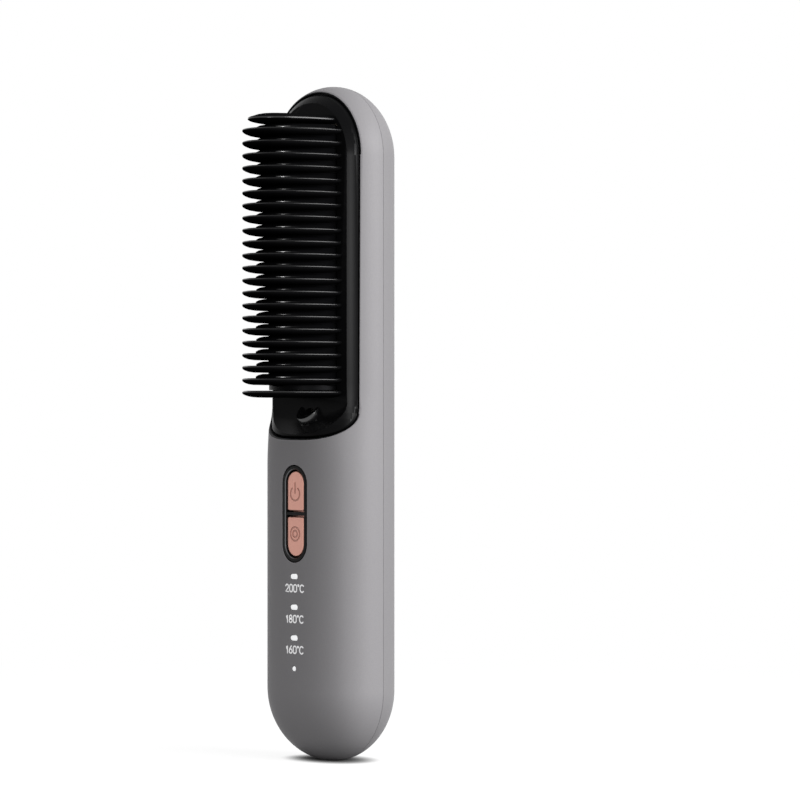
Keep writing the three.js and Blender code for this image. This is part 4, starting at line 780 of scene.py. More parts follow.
# Rear screw bosses: radius, depth, and how far their face and their sides stay under the surface
BOSS, BOSS_DEPTH, BOSS_UNDER, BOSS_SKIN = 3.4 * MM, 6 * MM, 0.4 * MM, 0.3 * MM
# The wells that the screws stand in: radius, depth under a head's face, and rounding
WELL, WELL_UNDER_HEAD, WELL_EDGE = 2.45 * MM, 1.5 * MM, 0.25 * MM
# The hole round the charging socket: gap, and pairs of how much wider it is at a height, in millimetres
SOCKET_GAP = 0.25 * MM
SOCKET_FLARE = ((0.5, -1), (0.35, 0.0), (0.0, 0.35))


def half_tool(capsule, sizes, front):
    """What one shell may fill: its side of the parting plane, with a rounded edge along it"""
    side = -1 if front else 1
    seam = sizes.seam + side * sizes.seam_gap / 2
    edge = sizes.edge
    sunk = capsule.half_width * (1 - math.sqrt(1 - (sizes.seam / capsule.back) ** 2))
    outside, beyond = 12 * MM, 60 * MM
    places = [(outside, side * beyond), (outside, seam + side * edge)]
    for a in np.linspace(*SEAM_TURNS, 5):
        places.append((-sunk - edge * (1 - math.cos(a)), seam + side * edge * (1 - math.sin(a))))
    places.append((-sunk - edge, seam))
    return skin("half", [laid(capsule.silhouette(grow), -back) for grow, back in places])


def hollow_shell(name, capsule, sizes, front):
    shell = skin(name, capsule.rings())
    carve(shell, skin("hollow", capsule.rings(sizes.wall, 96)))
    return carve(shell, half_tool(capsule, sizes, front), operation="INTERSECT")


def socket_tool():
    """The hole that the charging socket shows through"""
    low, high = SOCKET_BOX
    mouth = stadium((high.y - low.y) / 2 + SOCKET_GAP, high.x + SOCKET_GAP, 0, 10)
    outline = [(across, AXIS_Y + deep) for deep, across in mouth]
    places = [*metres(SOCKET_FLARE), (0.0, high.z + SOCKET_GAP)]
    return skin("socket_tool", [[(x, y, z) for x, y in grown(outline, grow)] for grow, z in places])


def build_front_shell(scene):
    sizes, buttons = scene.brush_body, scene.brush_buttons
    capsule = Capsule(sizes)
    shell = hollow_shell("front_shell_lacquered", capsule, sizes, True)
    carve(shell, capsule.cutter("window", window_outline(sizes, 0), WINDOW_START, sizes.window_edge))
    gap = buttons.hole_gap
    ring = stadium(buttons.half_width + gap, buttons.half_length + gap, buttons.centre)
    carve(shell, capsule.cutter("bezel_hole", ring, HOLE_START, buttons.hole_edge))
    for *_, outline_at in lamps_of(buttons):
        carve(shell, capsule.cutter("lamp_hole", outline_at(LAMP_GAP), HOLE_START, LAMP_EDGE))
    carve(shell, socket_tool())
    return capsule.lacquered(shell)


def screw_places():
    """Middle of each rear screw, with the level of its head's face"""
    boxes = [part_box(screw) for screw in REAR_SCREWS]
    return [((low.x + high.x) / 2, high.y, (low.z + high.z) / 2) for low, high in boxes]


def build_rear_shell(scene):
    sizes = scene.brush_body
    capsule = Capsule(sizes)
    shell = hollow_shell("rear_shell_lacquered", capsule, sizes, False)
    for x, head, z in screw_places():
        surface = AXIS_Y + float(capsule.depth(x, z, False))
        boss = turned("boss", x, z, [(BOSS, surface - BOSS_DEPTH), (BOSS, surface - BOSS_UNDER)])
        carve(boss, skin("within", capsule.rings(BOSS_SKIN, 96)), operation="INTERSECT")
        carve(shell, boss, operation="UNION")
        start = head - WELL_UNDER_HEAD - AXIS_Y
        carve(shell, capsule.cutter("well", circle(WELL, (x, z), 40), start, WELL_EDGE, False))
    carve(shell, socket_tool())
    return capsule.lacquered(shell)


# Comb: the recess above the platform, with its rim, its rounded foot, and the rise and slope of
# its lower wall
RECESS_RIM, RECESS_CORNER, RECESS_TOP_RISE, RECESS_SLOPE = 1.1 * MM, 8 * MM, 1.3 * MM, 0.857
# Sweep of its lower wall into the platform: rise, the height over which it fades, and how far up
# it is drawn finely; and where the coarser rings above it start
SWEEP_RISE, SWEEP_HEIGHT, SWEEP_TOP, WALL_START = 1.93 * MM, 0.3 * MM, 1.2 * MM, 1.5 * MM
# Levels in front of everything, for the recess and for the fence round the tray, and above the head
RECESS_LEVEL, FENCE_LEVEL, ABOVE_HEAD = 25 * MM, 30 * MM, 5 * MM
# Where the tray's rounded rim ends, and where the hood's round foot starts
RIM_TURN, CUP_TURN = math.radians(76), math.radians(-86)
# Hood: top of its rim above the window's foot, slope of its mouth, and how far its wall goes behind
HOOD_RIM, HOOD_SLOPE, HOOD_ROOT = 9.8 * MM, 4.0 / 4.2, 1.4 * MM
# How far the hood and its bore go past the rim before they are cut, and the reach of what cuts them
HOOD_OVER, BORE_OVER, FAR = 2 * MM, 3 * MM, 9 * MM
# Tray: its back, its wall, its platform, and what stays solid above the window's foot
TRAY_BACK, TRAY_WALL, PLATFORM_THICKNESS, SOLID_FOOT = 5.4 * MM, 1.9 * MM, 1.95 * MM, 6 * MM
# Where the cutters behind the tray start in front of the widest plane
UNDER_START, OUTLET_START = 2 * MM, 4 * MM
# The ion outlet under the hood: height above the window's foot, and pairs of millimetres, the radius
# and how far behind the platform's face it holds
OUTLET_RISE = 7 * MM
OUTLET = ((2.4, 0.3), (2.7, -0.3))
# Opening for the barrel: gap beside it, foot above the lowest row, top under the highest one, and
# how far its cutter stands in front of the platform
OPENING_SIDE, OPENING_FOOT, OPENING_TOP, OPENING_OVER = 0.3 * MM, 0.25 * MM, 1.8 * MM, 1 * MM
# The rim's gloss rises over these heights above the window's foot and fades over these below its top
GLOSS_RISES, GLOSS_FADES = (3 * MM, 12 * MM), (20 * MM, 9 * MM)
# How much of the gloss each stretch of the tray shows
RIM_GLOSS, EDGE_GLOSS, HOOD_GLOSS = 0.04, 0.3, 0.6
# How near faces are that count as the hood's or the rim's
NEAR, ON_RIM = 0.1 * MM, 0.05 * MM


def arch_point(half_width, rise, share, base):
    """X and frame Y of a point at a share of the way round an arch on the platform"""
    turn = math.pi * share
    return half_width * math.cos(turn), AXIS_Y - (base + rise * math.sin(turn))


def arch_inset(points, half_width, rise, base):
    """How far points lie inside an arch on the platform"""
    across, up = points[:, 0] / half_width, (AXIS_Y - base - points[:, 1]) / rise
    reach = np.maximum(np.hypot(across, up), 1e-9)
    return (1 - reach) * reach / np.hypot(across / half_width, up / rise)


def recess_tool(sizes, comb):
    """What is cut out above the platform, with a wall that sweeps up to the window's foot"""
    top_level = sizes.front_depth - comb.drop - comb.platform
    side, above = sizes.window_side - RECESS_RIM, sizes.full_length + ABOVE_HEAD
    sweep = np.linspace(0, 1, 12) ** 2 * SWEEP_TOP
    rings = []
    for h in np.concatenate((sweep, np.linspace(WALL_START, top_level, 6), [RECESS_LEVEL])):
        rise = RECESS_TOP_RISE + RECESS_SLOPE * (top_level - h) + SWEEP_RISE * math.exp(-h / SWEEP_HEIGHT)
        foot = rounded_foot(side, sizes.window_foot + rise + RECESS_CORNER, RECESS_CORNER, 48)
        rings.append(laid([(side, above), (-side, above), *foot], comb.platform + h))
    return skin("recess", rings)


def hood_parts(sizes, comb):
    """The outlet hood's shell, a cup with a sloping mouth, and its bore"""
    rim_top = sizes.window_foot + HOOD_RIM
    waist = sizes.window_foot + comb.hood_waist
    base = AXIS_Y - comb.platform

    def cup(name, radius, middle, top):
        places = [(radius * math.cos(turn), middle + radius * math.sin(turn))
                  for turn in np.linspace(CUP_TURN, 0, 14)]
        places.append((radius, top))
        return skin(name, [[(x, y, z) for x, y in circle(r, (0, base), 56)] for r, z in places])

    fall = HOOD_SLOPE * FAR
    wedge = skin("wedge", [[(x, base - FAR, rim_top - fall), (x, base + FAR, rim_top + fall),
                            (x, base + FAR, 1), (x, base - FAR, 1)] for x in (-FAR, FAR)])
    shell = carve(cup("hood", comb.hood, waist, rim_top + HOOD_OVER), wedge,
                  block("behind", (-FAR, base + HOOD_ROOT, 0), (FAR, AXIS_Y + FAR, 1)))
    bore = cup("bore", comb.hood - comb.hood_wall, waist + comb.hood_lip, rim_top + BORE_OVER)
    return shell, carve(bore, block("in_front", (-FAR, base, 0), (FAR, AXIS_Y + FAR, 1)))


def build_tray(scene):
    sizes, comb, heater = scene.brush_body, scene.brush_comb, scene.brush_heater
    capsule = Capsule(sizes)
    outline = np.array(window_outline(sizes, comb.gap))
    rings = [laid(outline, TRAY_BACK)]
    for a in np.linspace(0, RIM_TURN, 6):
        at = grown(outline, -comb.rim_edge * (1 - math.cos(a)))
        level = capsule.depth(at[:, 0], at[:, 1]) - comb.drop - comb.rim_edge * (1 - math.sin(a))
        rings.append(laid(at, level))
    rings.append(laid(grown(outline, -comb.rim_edge), FENCE_LEVEL))
    tray = skin("comb_tray", capsule.rings(0.0, 192, comb.drop))
    carve(tray, skin("fence", rings), operation="INTERSECT")
    hood, bore = hood_parts(sizes, comb)
    under = skin("under", [laid(window_outline(sizes, comb.gap + TRAY_WALL), level)
                           for level in (UNDER_START, comb.platform - PLATFORM_THICKNESS)])
    carve(under, block("solid_foot", (-0.03, -0.1, 0), (0.03, 0.1, sizes.window_foot + SOLID_FOOT)))
    carve(tray, recess_tool(sizes, comb), under)
    carve(tray, hood, operation="UNION")
    half, front = heater.half_width + OPENING_SIDE, AXIS_Y - comb.platform
    opening = block("opening", (-half, front - OPENING_OVER, comb.first_row + OPENING_FOOT),
                    (half, AXIS_Y, comb.last_row - OPENING_TOP))
    outlet = turned("outlet", 0, sizes.window_foot + OUTLET_RISE,
                    [(OUTLET[0][0] * MM, AXIS_Y - OUTLET_START), *metres(OUTLET, front)])
    carve(tray, opening, bore, outlet)

    def polished(middles):
        """The tray's rim, less so towards its two ends, and the hood's outside"""
        height = middles[:, 2]
        inside = -capsule.off_surface(middles - np.array((0, comb.drop, 0)))
        to_edge = np.min(np.hypot(middles[:, :1] - outline[:, 0], middles[:, 2:] - outline[:, 1]), axis=1)
        near = comb.rim_edge + NEAR
        rim = np.where((to_edge < near) & (inside < near), EDGE_GLOSS, (inside < ON_RIM) * RIM_GLOSS)
        rises = smooth_step(height, *(sizes.window_foot + above for above in GLOSS_RISES))
        fades = 1 - smooth_step(height, *(sizes.window_top - below for below in GLOSS_FADES))
        level = front - middles[:, 1]
        below = np.minimum(height - (sizes.window_foot + comb.hood_waist), 0)
        out = np.sqrt(middles[:, 0] ** 2 + level ** 2 + below ** 2) - comb.hood
        on_hood = (level > NEAR) & (out < NEAR) & (out > NEAR - comb.hood_wall)
        return np.maximum(rim * rises * fades, HOOD_GLOSS * on_hood)

    return paint_faces(tray, "polished", polished)


# Sections of a blade and of a fin: millimetres behind the crest, and above the middle of the row
# or above the fin's lower face
BLADE_SECTION = (
    (9, 0.4), (4.2, 0.4), (3.0, 0.38), (1.1, 0.34), (0.47, 0.27), (0.2, 0.17), (0.05, 0.02), (0, -0.13),
    (0, -0.28), (0.06, -0.5), (0.22, -0.68), (0.47, -0.85), (1.1, -1.13), (2.3, -1.48), (4.2, -1.7),
    (9, -1.75))
FIN_SECTION = (
    (9, 0), (0.12, 0), (0.03, 0.04), (0, 0.12), (0, 0.38), (0.08, 0.5), (0.3, 0.62), (1.2, 1.0),
    (2.8, 1.3), (9, 1.3))
# Sections of the end plates: millimetres inwards, and above their rows; the low one has a blade's nose
LOW_PLATE = (
    (1.5, 0.36), (0.9, 0.33), *BLADE_SECTION[4:13], (1.9, -1.38), (3.2, -1.62), (5, -1.75), (8, -1.8))
HIGH_PLATE = (
    (5, -1.8), (3.2, -1.6), (1.7, -1.4), (0.75, -1.15), (0.3, -0.95), (0.05, -0.75), (0, -0.6), (0, -0.42),
    (0.08, -0.2), (0.3, -0.02), (0.75, 0.15), (1.9, 0.5), (3.2, 0.9), (4.6, 1.15), (6.2, 1.3))
# How polished a nose is at each distance in millimetres from the middle, and how far back it goes
BLADE_POLISH = ((3.0, 1.0), (6.0, 0.45), (12.0, 0.45), (14.2, 1.0))
FIN_POLISH = ((4.6, 0.0), (5.4, 1.0), (7.0, 1.0), (8.0, 0.1), (9.5, 0.0))
BLADE_NOSE, FIN_NOSE = 0.5 * MM, 0.3 * MM
# How low the polished line of a blade goes, and those of the end plates: middle above the row, half width
NOSE_FOOT, LOW_NOSE, HIGH_NOSE = -0.2 * MM, (0.14 * MM, 0.2 * MM), (-0.4 * MM, 0.25 * MM)
# How deep the end plates go into the platform
PLATE_ROOT = 0.6 * MM


def arch_sheet(name, profile, half_width, rise, base, steps=72, start=0.0):
    """Carries a section round the arch; the section's points are (inwards, height) at each share"""
    rings = []
    for i in range(steps + 1):
        share = start + (1 - 2 * start) * i / steps
        rings.append([(*arch_point(half_width - inwards[0], rise - inwards[1], share, base), height)
                      for inwards, height in profile(share)])
    return skin(name, rings)


def cross_section(section, inner, lift=0.0):
    """The section at a share of the way round an arch whose thickness is inner in X and in depth"""
    def profile(share):
        turn = math.pi * share
        depth = math.hypot(inner[0] * math.cos(turn), inner[1] * math.sin(turn))
        points = [(min(back * MM / depth, 1), lift + height * MM) for back, height in section]
        return [((inner[0] * part, inner[1] * part), height) for part, height in points]
    return profile


def polish_at(table, middles):
    """How polished a nose is at each distance from the middle"""
    distances, shares = zip(*table)
    return np.interp(np.abs(middles[:, 0]), np.array(distances) * MM, shares)


def build_blade(scene):
    """One blade with its row's middle at height 0: a round nose, a flat upper face and a full lower one"""
    comb, heater = scene.brush_comb, scene.brush_heater
    arch = (comb.half_width, comb.reach - comb.platform)
    inner = (arch[0] - heater.half_width - comb.barrel_gap, arch[1] - heater.rise - comb.barrel_gap)
    blade = arch_sheet("comb_blades", cross_section(BLADE_SECTION, inner), *arch, comb.platform)

    def polished(middles):
        """A line along the nose, fainter half way down each side"""
        nose = arch_inset(middles, *arch, comb.platform) < BLADE_NOSE
        return nose * (middles[:, 2] > NOSE_FOOT) * polish_at(BLADE_POLISH, middles)

    return paint_faces(blade, "polished", polished)


def row_pitch(comb):
    return (comb.last_row - comb.first_row) / (comb.rows - 1)


def rows_tree(name):
    """A node tree that repeats the piece it is on in a column"""
    nodes = Copies(name, Rows="Int", Start="Vector", Step="Vector")
    line = nodes.add("GeometryNodeMeshLine", {"mode": "OFFSET"}, {
        "Count": nodes.given("Rows"), "Start Location": nodes.given("Start"), "Offset": nodes.given("Step")})
    return nodes.place(line, nodes.given("Geometry"))


def build_end_plates(scene):
    """The closed walls at both ends of the comb"""
    comb = scene.brush_comb
    whole = (comb.half_width, comb.reach - comb.platform)
    less = (whole[0] - comb.top_narrower, whole[1] - comb.top_shorter)
    back = AXIS_Y - comb.platform + PLATE_ROOT

    def plate(name, arch, profile):
        rings = []
        for inset, height in profile:
            half_width, rise = arch[0] - inset, arch[1] - inset
            points = [arch_point(half_width, rise, i / 60, comb.platform) for i in range(61)]
            rings.append([(x, y, height) for x, y in ((half_width, back), *points, (-half_width, back))])
        return skin(name, rings)

    plates = joined("comb_end_plates", [plate("low", whole, metres(LOW_PLATE, comb.first_row)),
                                        plate("high", less, metres(HIGH_PLATE, comb.last_row))])

    def polished(middles):
        """A line along the nose of each plate"""
        height = middles[:, 2]
        on_low = np.abs(height - comb.first_row - LOW_NOSE[0]) < LOW_NOSE[1]
        on_high = np.abs(height - comb.last_row - HIGH_NOSE[0]) < HIGH_NOSE[1]
        return ((on_low & (arch_inset(middles, *whole, comb.platform) < BLADE_NOSE))
                | (on_high & (arch_inset(middles, *less, comb.platform) < BLADE_NOSE)))

    return paint_faces(plates, "polished", polished)


# Heater

BARREL_WALL, BARREL_CREST_WALL, FLANGE_THICKNESS = 1.9 * MM, 2.6 * MM, 1.7 * MM
# The coating: foot above the lowest row, top under the highest one, how deep it goes into the barrel,
# and the share of the arch that it leaves bare at each end
COAT_START, COAT_END, COAT_ROOT, COAT_BARE = 0.55 * MM, 2.2 * MM, 0.15 * MM, 0.03
# A fin: how far its ends stand off the barrel's sides, and how deep it goes into the barrel
FIN_OUT, FIN_ROOT = 0.05 * MM, 0.35 * MM


def build_barrel(scene):
    """The metal barrel with its flange and the channel behind it"""
    comb, heater = scene.brush_comb, scene.brush_heater
    half, inside = heater.half_width, heater.half_width - BARREL_WALL
    wing = half + heater.flange
    back = PLATE_BOX[1].y
    front, foot = back - FLANGE_THICKNESS, AXIS_Y - comb.platform
    outer = [arch_point(half, heater.rise, i / 80, comb.platform) for i in range(81)]
    hollow = heater.rise - BARREL_CREST_WALL
    inner = [arch_point(inside, hollow, i / 40, comb.platform) for i in range(40, -1, -1)]
    outline = [(half, front), (half, foot), *outer, (-half, foot), (-half, front), (-wing, front),
               (-wing, back), (-inside, back), *inner, (inside, back), (wing, back), (wing, front)]
    return skin("heater_barrel", [[(x, y, corner.z) for x, y in outline] for corner in PLATE_BOX])


def build_coat(scene):
    """The black coating between the fins, with a wavy lower edge"""
    comb, heater = scene.brush_comb, scene.brush_heater
    high = comb.last_row - COAT_END
    out, inside = (-heater.coat, -heater.coat), (COAT_ROOT, COAT_ROOT)

    def profile(share):
        wave = 0.5 - 0.5 * math.cos(4 * math.pi * share)
        edge = comb.first_row + COAT_START + heater.coat_wave * (1 + wave)
        return [(out, edge), (out, high), (inside, high), (inside, edge)]

    coat = arch_sheet(
        "heater_coating", profile, heater.half_width, heater.rise, comb.platform, 80, COAT_BARE)
    return paint_faces(coat, "polished", lambda middles: 0 * middles[:, 0])


def build_fin(scene, taller, polish):
    """One fin, a little above a blade whose row's middle is at height 0"""
    comb, heater = scene.brush_comb, scene.brush_heater
    step = heater.fin_step + taller
    arch = (heater.half_width + FIN_OUT, heater.rise + step)
    profile = cross_section(FIN_SECTION, (FIN_ROOT, step + FIN_ROOT), heater.fin_foot)
    fin = arch_sheet("heater_fins", profile, *arch, comb.platform)

    def polished(middles):
        """A short stretch of the nose on each side of the middle"""
        nose = arch_inset(middles, *arch, comb.platform) < FIN_NOSE
        return nose * polish * polish_at(FIN_POLISH, middles)

    return paint_faces(fin, "polished", polished)


# Buttons, lamps and figures

# Rounded edges as pairs of millimetres: how far inwards, and above the face
BEZEL_EDGE = ((0, -0.28), (0.03, -0.13), (0.1, -0.04), (0.22, 0))
CAP_EDGE = ((0, -0.5), (0.04, -0.3), (0.13, -0.14), (0.3, -0.04), (0.6, 0), (1.3, 0.03), (2.2, 0.04))
LENS_EDGE = ((0, -3), (0, -0.2), (0.06, -0.1), (0.2, -0.03), (0.45, 0))
# The ring's fall over its flat top, the round and the step at the foot of its slope
RING_FALL, RING_ROUND, RING_FOOT = 0.02 * MM, 0.1 * MM, 0.12 * MM
# The bar's rounded edge, how far it stands above the slope's foot and goes into the ring
BAR_EDGE, BAR_RISE, BAR_ROOT = 0.15 * MM, 0.02 * MM, 0.3 * MM
# A cap's flange, as width and thickness, and the corners of its straight end
CAP_FLANGE, CAP_CORNER = (0.45 * MM, 0.7 * MM), 0.5 * MM
# Depth of an engraved line, and how far its cutter stands above the face
ENGRAVING, ENGRAVING_SKY = 0.08 * MM, 1 * MM
# The power symbol's stroke: foot above the symbol's middle, and top above its arc
POWER_TICK = (0.3 * MM, 1.2 * MM)
# The temperature symbol's inner ring, as a share of the outer one
INNER_RING = 0.48
# How far engraved faces reach past a symbol's radius, sideways and all round
SYMBOL_SIDE, SYMBOL_ROUND = 0.3 * MM, 1.2 * MM
# The ink's thickness under the surface and above it
INK_UNDER, INK = 0.03 * MM, 0.012 * MM


def build_bezel(scene):
    buttons, sizes = scene.brush_buttons, scene.brush_body
    face = sizes.front_depth - buttons.ring_drop
    back = AXIS_Y - BEZEL_BOX[1].y
    ring, slope_foot = buttons.ring, face - buttons.ring_sink
    levels = [(0, back), *metres(BEZEL_EDGE, face), (buttons.ring_flat, face - RING_FALL),
              (ring - RING_ROUND, slope_foot), (ring, slope_foot - RING_FOOT), (ring, back)]
    bezel = hoop("bezel_ring", [
        laid(stadium(buttons.half_width - inset, buttons.half_length - inset, buttons.centre, 24), level)
        for inset, level in levels])
    half, top = buttons.crossbar / 2, slope_foot + BAR_RISE
    reach = buttons.half_width - ring + BAR_ROOT
    section = [(-half, back), (half, back), (half, slope_foot - RING_FOOT), (half - BAR_EDGE, top),
               (BAR_EDGE - half, top), (-half, slope_foot - RING_FOOT)]
    bar = skin("crossbar", [[(x, AXIS_Y - level, buttons.centre + z) for z, level in section]
                            for x in (-reach, reach)])
    carve(bezel, bar, operation="UNION")
    straight = buttons.half_length - buttons.half_width

    def bare(middles):
        """The slope towards the caps"""
        beyond = np.maximum(np.abs(middles[:, 2] - buttons.centre) - straight, 0)
        inset = buttons.half_width - np.hypot(middles[:, 0], beyond)
        return (inset > buttons.ring_flat) & (inset < ring) & (middles[:, 1] < AXIS_Y - slope_foot)

    return paint_faces(bezel, "bare", bare)


def cap_outline(buttons, side, inset):
    """A cap with a round outer end and a straight inner one; side is 1 above the crossbar, -1 below"""
    half = buttons.half_width - buttons.ring - buttons.cap_gap - inset
    near = buttons.crossbar / 2 + buttons.cap_gap + inset + CAP_CORNER
    far = buttons.half_length - buttons.ring - buttons.cap_gap - inset - half
    corner = (CAP_CORNER, CAP_CORNER)
    points = [*arc((half - CAP_CORNER, near), corner, -90, 0, 7), *arc((0, far), (half, half), 0, 180, 25),
              *arc((CAP_CORNER - half, near), corner, 180, 270, 7)]
    made = [(x, buttons.centre + side * z) for x, z in points]
    return made if side > 0 else made[::-1]


def ribbon(points, half, closed=False):
    """Left and right edges of a line drawn with a round pen of that half width"""
    points = np.array(points, float)
    if closed:
        along = directions(np.roll(points, 1, 0), np.roll(points, -1, 0))
    else:
        along = directions(np.vstack((points[:1], points[:-1])), np.vstack((points[1:], points[-1:])))
    across = np.column_stack((-along[:, 1], along[:, 0]))
    left, right = points + half * across, points - half * across
    if closed:
        return left, right
    turns = np.linspace(0, math.pi, 9)[1:-1]
    end = [points[-1] + half * (math.cos(a) * across[-1] + math.sin(a) * along[-1]) for a in turns]
    start = [points[0] + half * (-math.cos(a) * across[0] - math.sin(a) * along[0]) for a in turns]
    return np.vstack((left, end)), np.vstack((right, start))


def line_solid(name, points, half, surface, under, over, closed=False):
    """A line drawn on a surface, a function of X and Z, as a thin solid from under it to over it"""
    def edge(outline, rise):
        return laid(outline, np.array([float(surface(x, z)) for x, z in outline]) + rise)

    left, right = ribbon(points, half, closed)
    if closed:
        return hoop(name, [edge(left, -under), edge(right, -under), edge(right, over), edge(left, over)])
    loop = [*left, *right[:len(points)][::-1], *right[len(points):]]
    return skin(name, [edge(loop, -under), edge(loop, over)])


def build_cap(scene, name, side):
    buttons, sizes = scene.brush_buttons, scene.brush_body
    face = sizes.front_depth + buttons.proud
    back = AXIS_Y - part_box(name + "_button")[1].y
    flange, front = CAP_FLANGE[0], back + CAP_FLANGE[1]
    levels = [(-flange, back), (-flange, front), (0, front), *metres(CAP_EDGE, face)]
    cap = skin(name + "_cap", [laid(cap_outline(buttons, side, inset), level) for inset, level in levels])
    middle, radius = buttons.centre + side * buttons.symbol_step, buttons.symbol

    def engrave(points, closed=False):
        half = buttons.stroke / 2
        carve(cap, line_solid("line", points, half, lambda x, z: face, ENGRAVING, ENGRAVING_SKY, closed))

    if side > 0:
        low, high = POWER_TICK
        engrave(arc((0, middle), (radius, radius), 128, 412, 40))
        engrave([(0, middle + low), (0, middle + radius + high)])
    else:
        for part, steps in ((1, 49), (INNER_RING, 33)):
            engrave(arc((0, middle), (radius * part, radius * part), 0, 360, steps)[:-1], True)

    def engraved(middles):
        """The floors of the lines"""
        x, y, z = middles.T
        on_floor = np.abs(y - (AXIS_Y - face + ENGRAVING)) < ON_SURFACE
        across, away = np.abs(x), np.hypot(x, z - middle)
        return on_floor & (across < radius + SYMBOL_SIDE) & (away < radius + SYMBOL_ROUND)

    return paint_faces(cap, "engraved", engraved)


def ring_arc(middle, radius, start=0, end=360, steps=26):
    """Part of a figure's round stretch; a whole ring leaves out its last point, which is its first"""
    points = arc(middle, radius, start, end, steps)
    return points[:-1] if end - start == 360 else points


# The lines of each sign, in shares of the figures' height, and whether each closes on itself
GLYPHS = {
    "0": [(ring_arc((0.29, 0.73), (0.26, 0.24), 0, 180, 14)
           + ring_arc((0.29, 0.27), (0.26, 0.24), 180, 360, 14), True)],
    "1": [([(0.1, 0.8), (0.3, 0.97), (0.3, 0.03)], False)],
    "2": [(ring_arc((0.29, 0.7), (0.25, 0.27), 165, -38, 16) + [(0.04, 0.03), (0.55, 0.03)], False)],
    "6": [(ring_arc((0.29, 0.3), (0.26, 0.27)), True), ([(0.06, 0.42), (0.2, 0.72), (0.42, 0.97)], False)],
    "8": [(ring_arc((0.29, 0.27), (0.26, 0.24)), True), (ring_arc((0.29, 0.74), (0.21, 0.23)), True)],
    "*": [(ring_arc((0.12, 0.88), (0.09, 0.09), steps=17), True)],
    "C": [(ring_arc((0.4, 0.5), (0.34, 0.47), 48, 312), False)],
}
ADVANCE = {"0": 0.74, "1": 0.6, "2": 0.74, "6": 0.74, "8": 0.74, "*": 0.34, "C": 0.8}


def build_figures(scene):
    """The printed temperatures, laid on the body's surface as thin ink"""
    buttons = scene.brush_buttons
    capsule = Capsule(scene.brush_body)
    height, across = buttons.figure_height, buttons.figure_width
    strokes = []
    for lamp in LAMPS:
        text = lamp + "*C"
        left = buttons.figure_shift - sum(ADVANCE[sign] for sign in text) * across / 2
        foot = middle_height("lamp_lens_" + lamp) - buttons.figure_drop - height / 2
        for sign in text:
            for points, closed in GLYPHS[sign]:
                drawn = [(left + u * across, foot + v * height) for u, v in points]
                strokes.append(line_solid(
                    "stroke", drawn, buttons.pen, capsule.depth, INK_UNDER, INK, closed))
            left += ADVANCE[sign] * across
    return joined("temperature_figures", strokes)


# Small fittings

# A pan head as pairs of millimetres: radius, and height above its seat
SCREW_HEAD = ((0.9, -3.0), (0.9, 0), (1.9, 0), (1.9, 0.62), (1.8, 0.86), (1.5, 1.06), (1.0, 1.17))
SCREW_HEIGHT = 1.2 * MM
# Its cross recess: half width, reach, floor, and where its cutter ends
RECESS = (0.2 * MM, 1.0 * MM, 0.45 * MM, 2 * MM)
# The charging socket's wall, and its rolled edge as pairs of millimetres: inwards, and above its mouth
SOCKET_WALL = 0.3 * MM
SOCKET_EDGE = ((0, 0.12), (0.05, 0.03), (0.15, 0), (0.27, 0.05), (0.3, 0.15))


def build_screw_head():
    """A pan head with a cross recess, its seat at the origin and its face towards +Y"""
    half, reach, floor, end = RECESS
    slots = [block("slot", (-x, floor, -z), (x, end, z)) for x, z in ((reach, half), (half, reach))]
    return carve(turned("screw_head", 0, 0, metres(SCREW_HEAD), 40), *slots)


def build_screws(finish):
    """The rear screws, each on the place of its CAD node"""
    fitting = build_screw_head()
    nodes = Copies("screw_places", Fitting="Object")
    form = nodes.add("GeometryNodeObjectInfo", None, {"Object": nodes.given("Fitting")}, "Geometry")
    tree = nodes.place(nodes.given("Geometry"), form)
    seats = [(x, head - SCREW_HEIGHT, z) for x, head, z in screw_places()]
    points = piece_of("rear_screw_heads", seats, [])
    screws = repeat(points, tree, Fitting=fitting, Finish=finish)
    bpy.data.objects.remove(fitting)
    return screws


def build_socket():
    """The metal mouth of the charging socket, with a rolled edge"""
    low, high = SOCKET_BOX
    levels = [(0, high.z), *metres(SOCKET_EDGE, low.z), (SOCKET_WALL, high.z - SOCKET_WALL)]
    rings = []
    for inset, z in levels:
        outline = stadium((high.y - low.y) / 2 - inset, high.x - inset, 0, 14)
        rings.append([(across, AXIS_Y + deep, z) for deep, across in outline])
    return skin("socket_mouth", rings)


# Operators


class BuildShells(bpy.types.Operator):
    """Builds the two lacquered shells"""

    bl_idname = "brush.build_shells"
    bl_label = "Shells"

    def execute(self, context):
        scene, looks = context.scene, context.scene.brush_finishes
        front = lacquer_finish("body_lacquer", looks.lacquer)
        finish_piece(build_front_shell(scene), front, replaces=("front_shell",), degrees=0)
        # The rear shell takes a darker copy of the lacquer: painted shade where the light falls off round the
        # back
        rear = lacquer_finish("rear_lacquer", shade_of(looks.lacquer, looks.rear))
        finish_piece(build_rear_shell(scene), rear, replaces=("rear_shell",), degrees=0)
        return {"FINISHED"}


class BuildComb(bpy.types.Operator):
    """Builds the comb's tray, its blades and its end plates"""

    bl_idname = "brush.build_comb"
    bl_label = "Comb"

    def execute(self, context):
        scene = context.scene
        comb, tone = scene.brush_comb, scene.brush_finishes.gloss_black
        satin = moulded_finish("tray_black", tone, 0.25, 0.004, 0.03, 2.0)
        gloss = moulded_finish("blade_black", tone, 0.18, 0.002, 0.0, 1.5)
        finish_piece(build_tray(scene), satin, ("comb_cover",), degrees=38)
        pitch = row_pitch(comb)
        blades = repeat(build_blade(scene), rows_tree("blade_rows"), Rows=comb.rows - 2,
                        Start=(0, 0, comb.first_row + pitch), Step=(0, 0, pitch), Finish=gloss)
        finish_piece(blades, gloss)
        finish_piece(build_end_plates(scene), gloss, degrees=30)
        return {"FINISHED"}


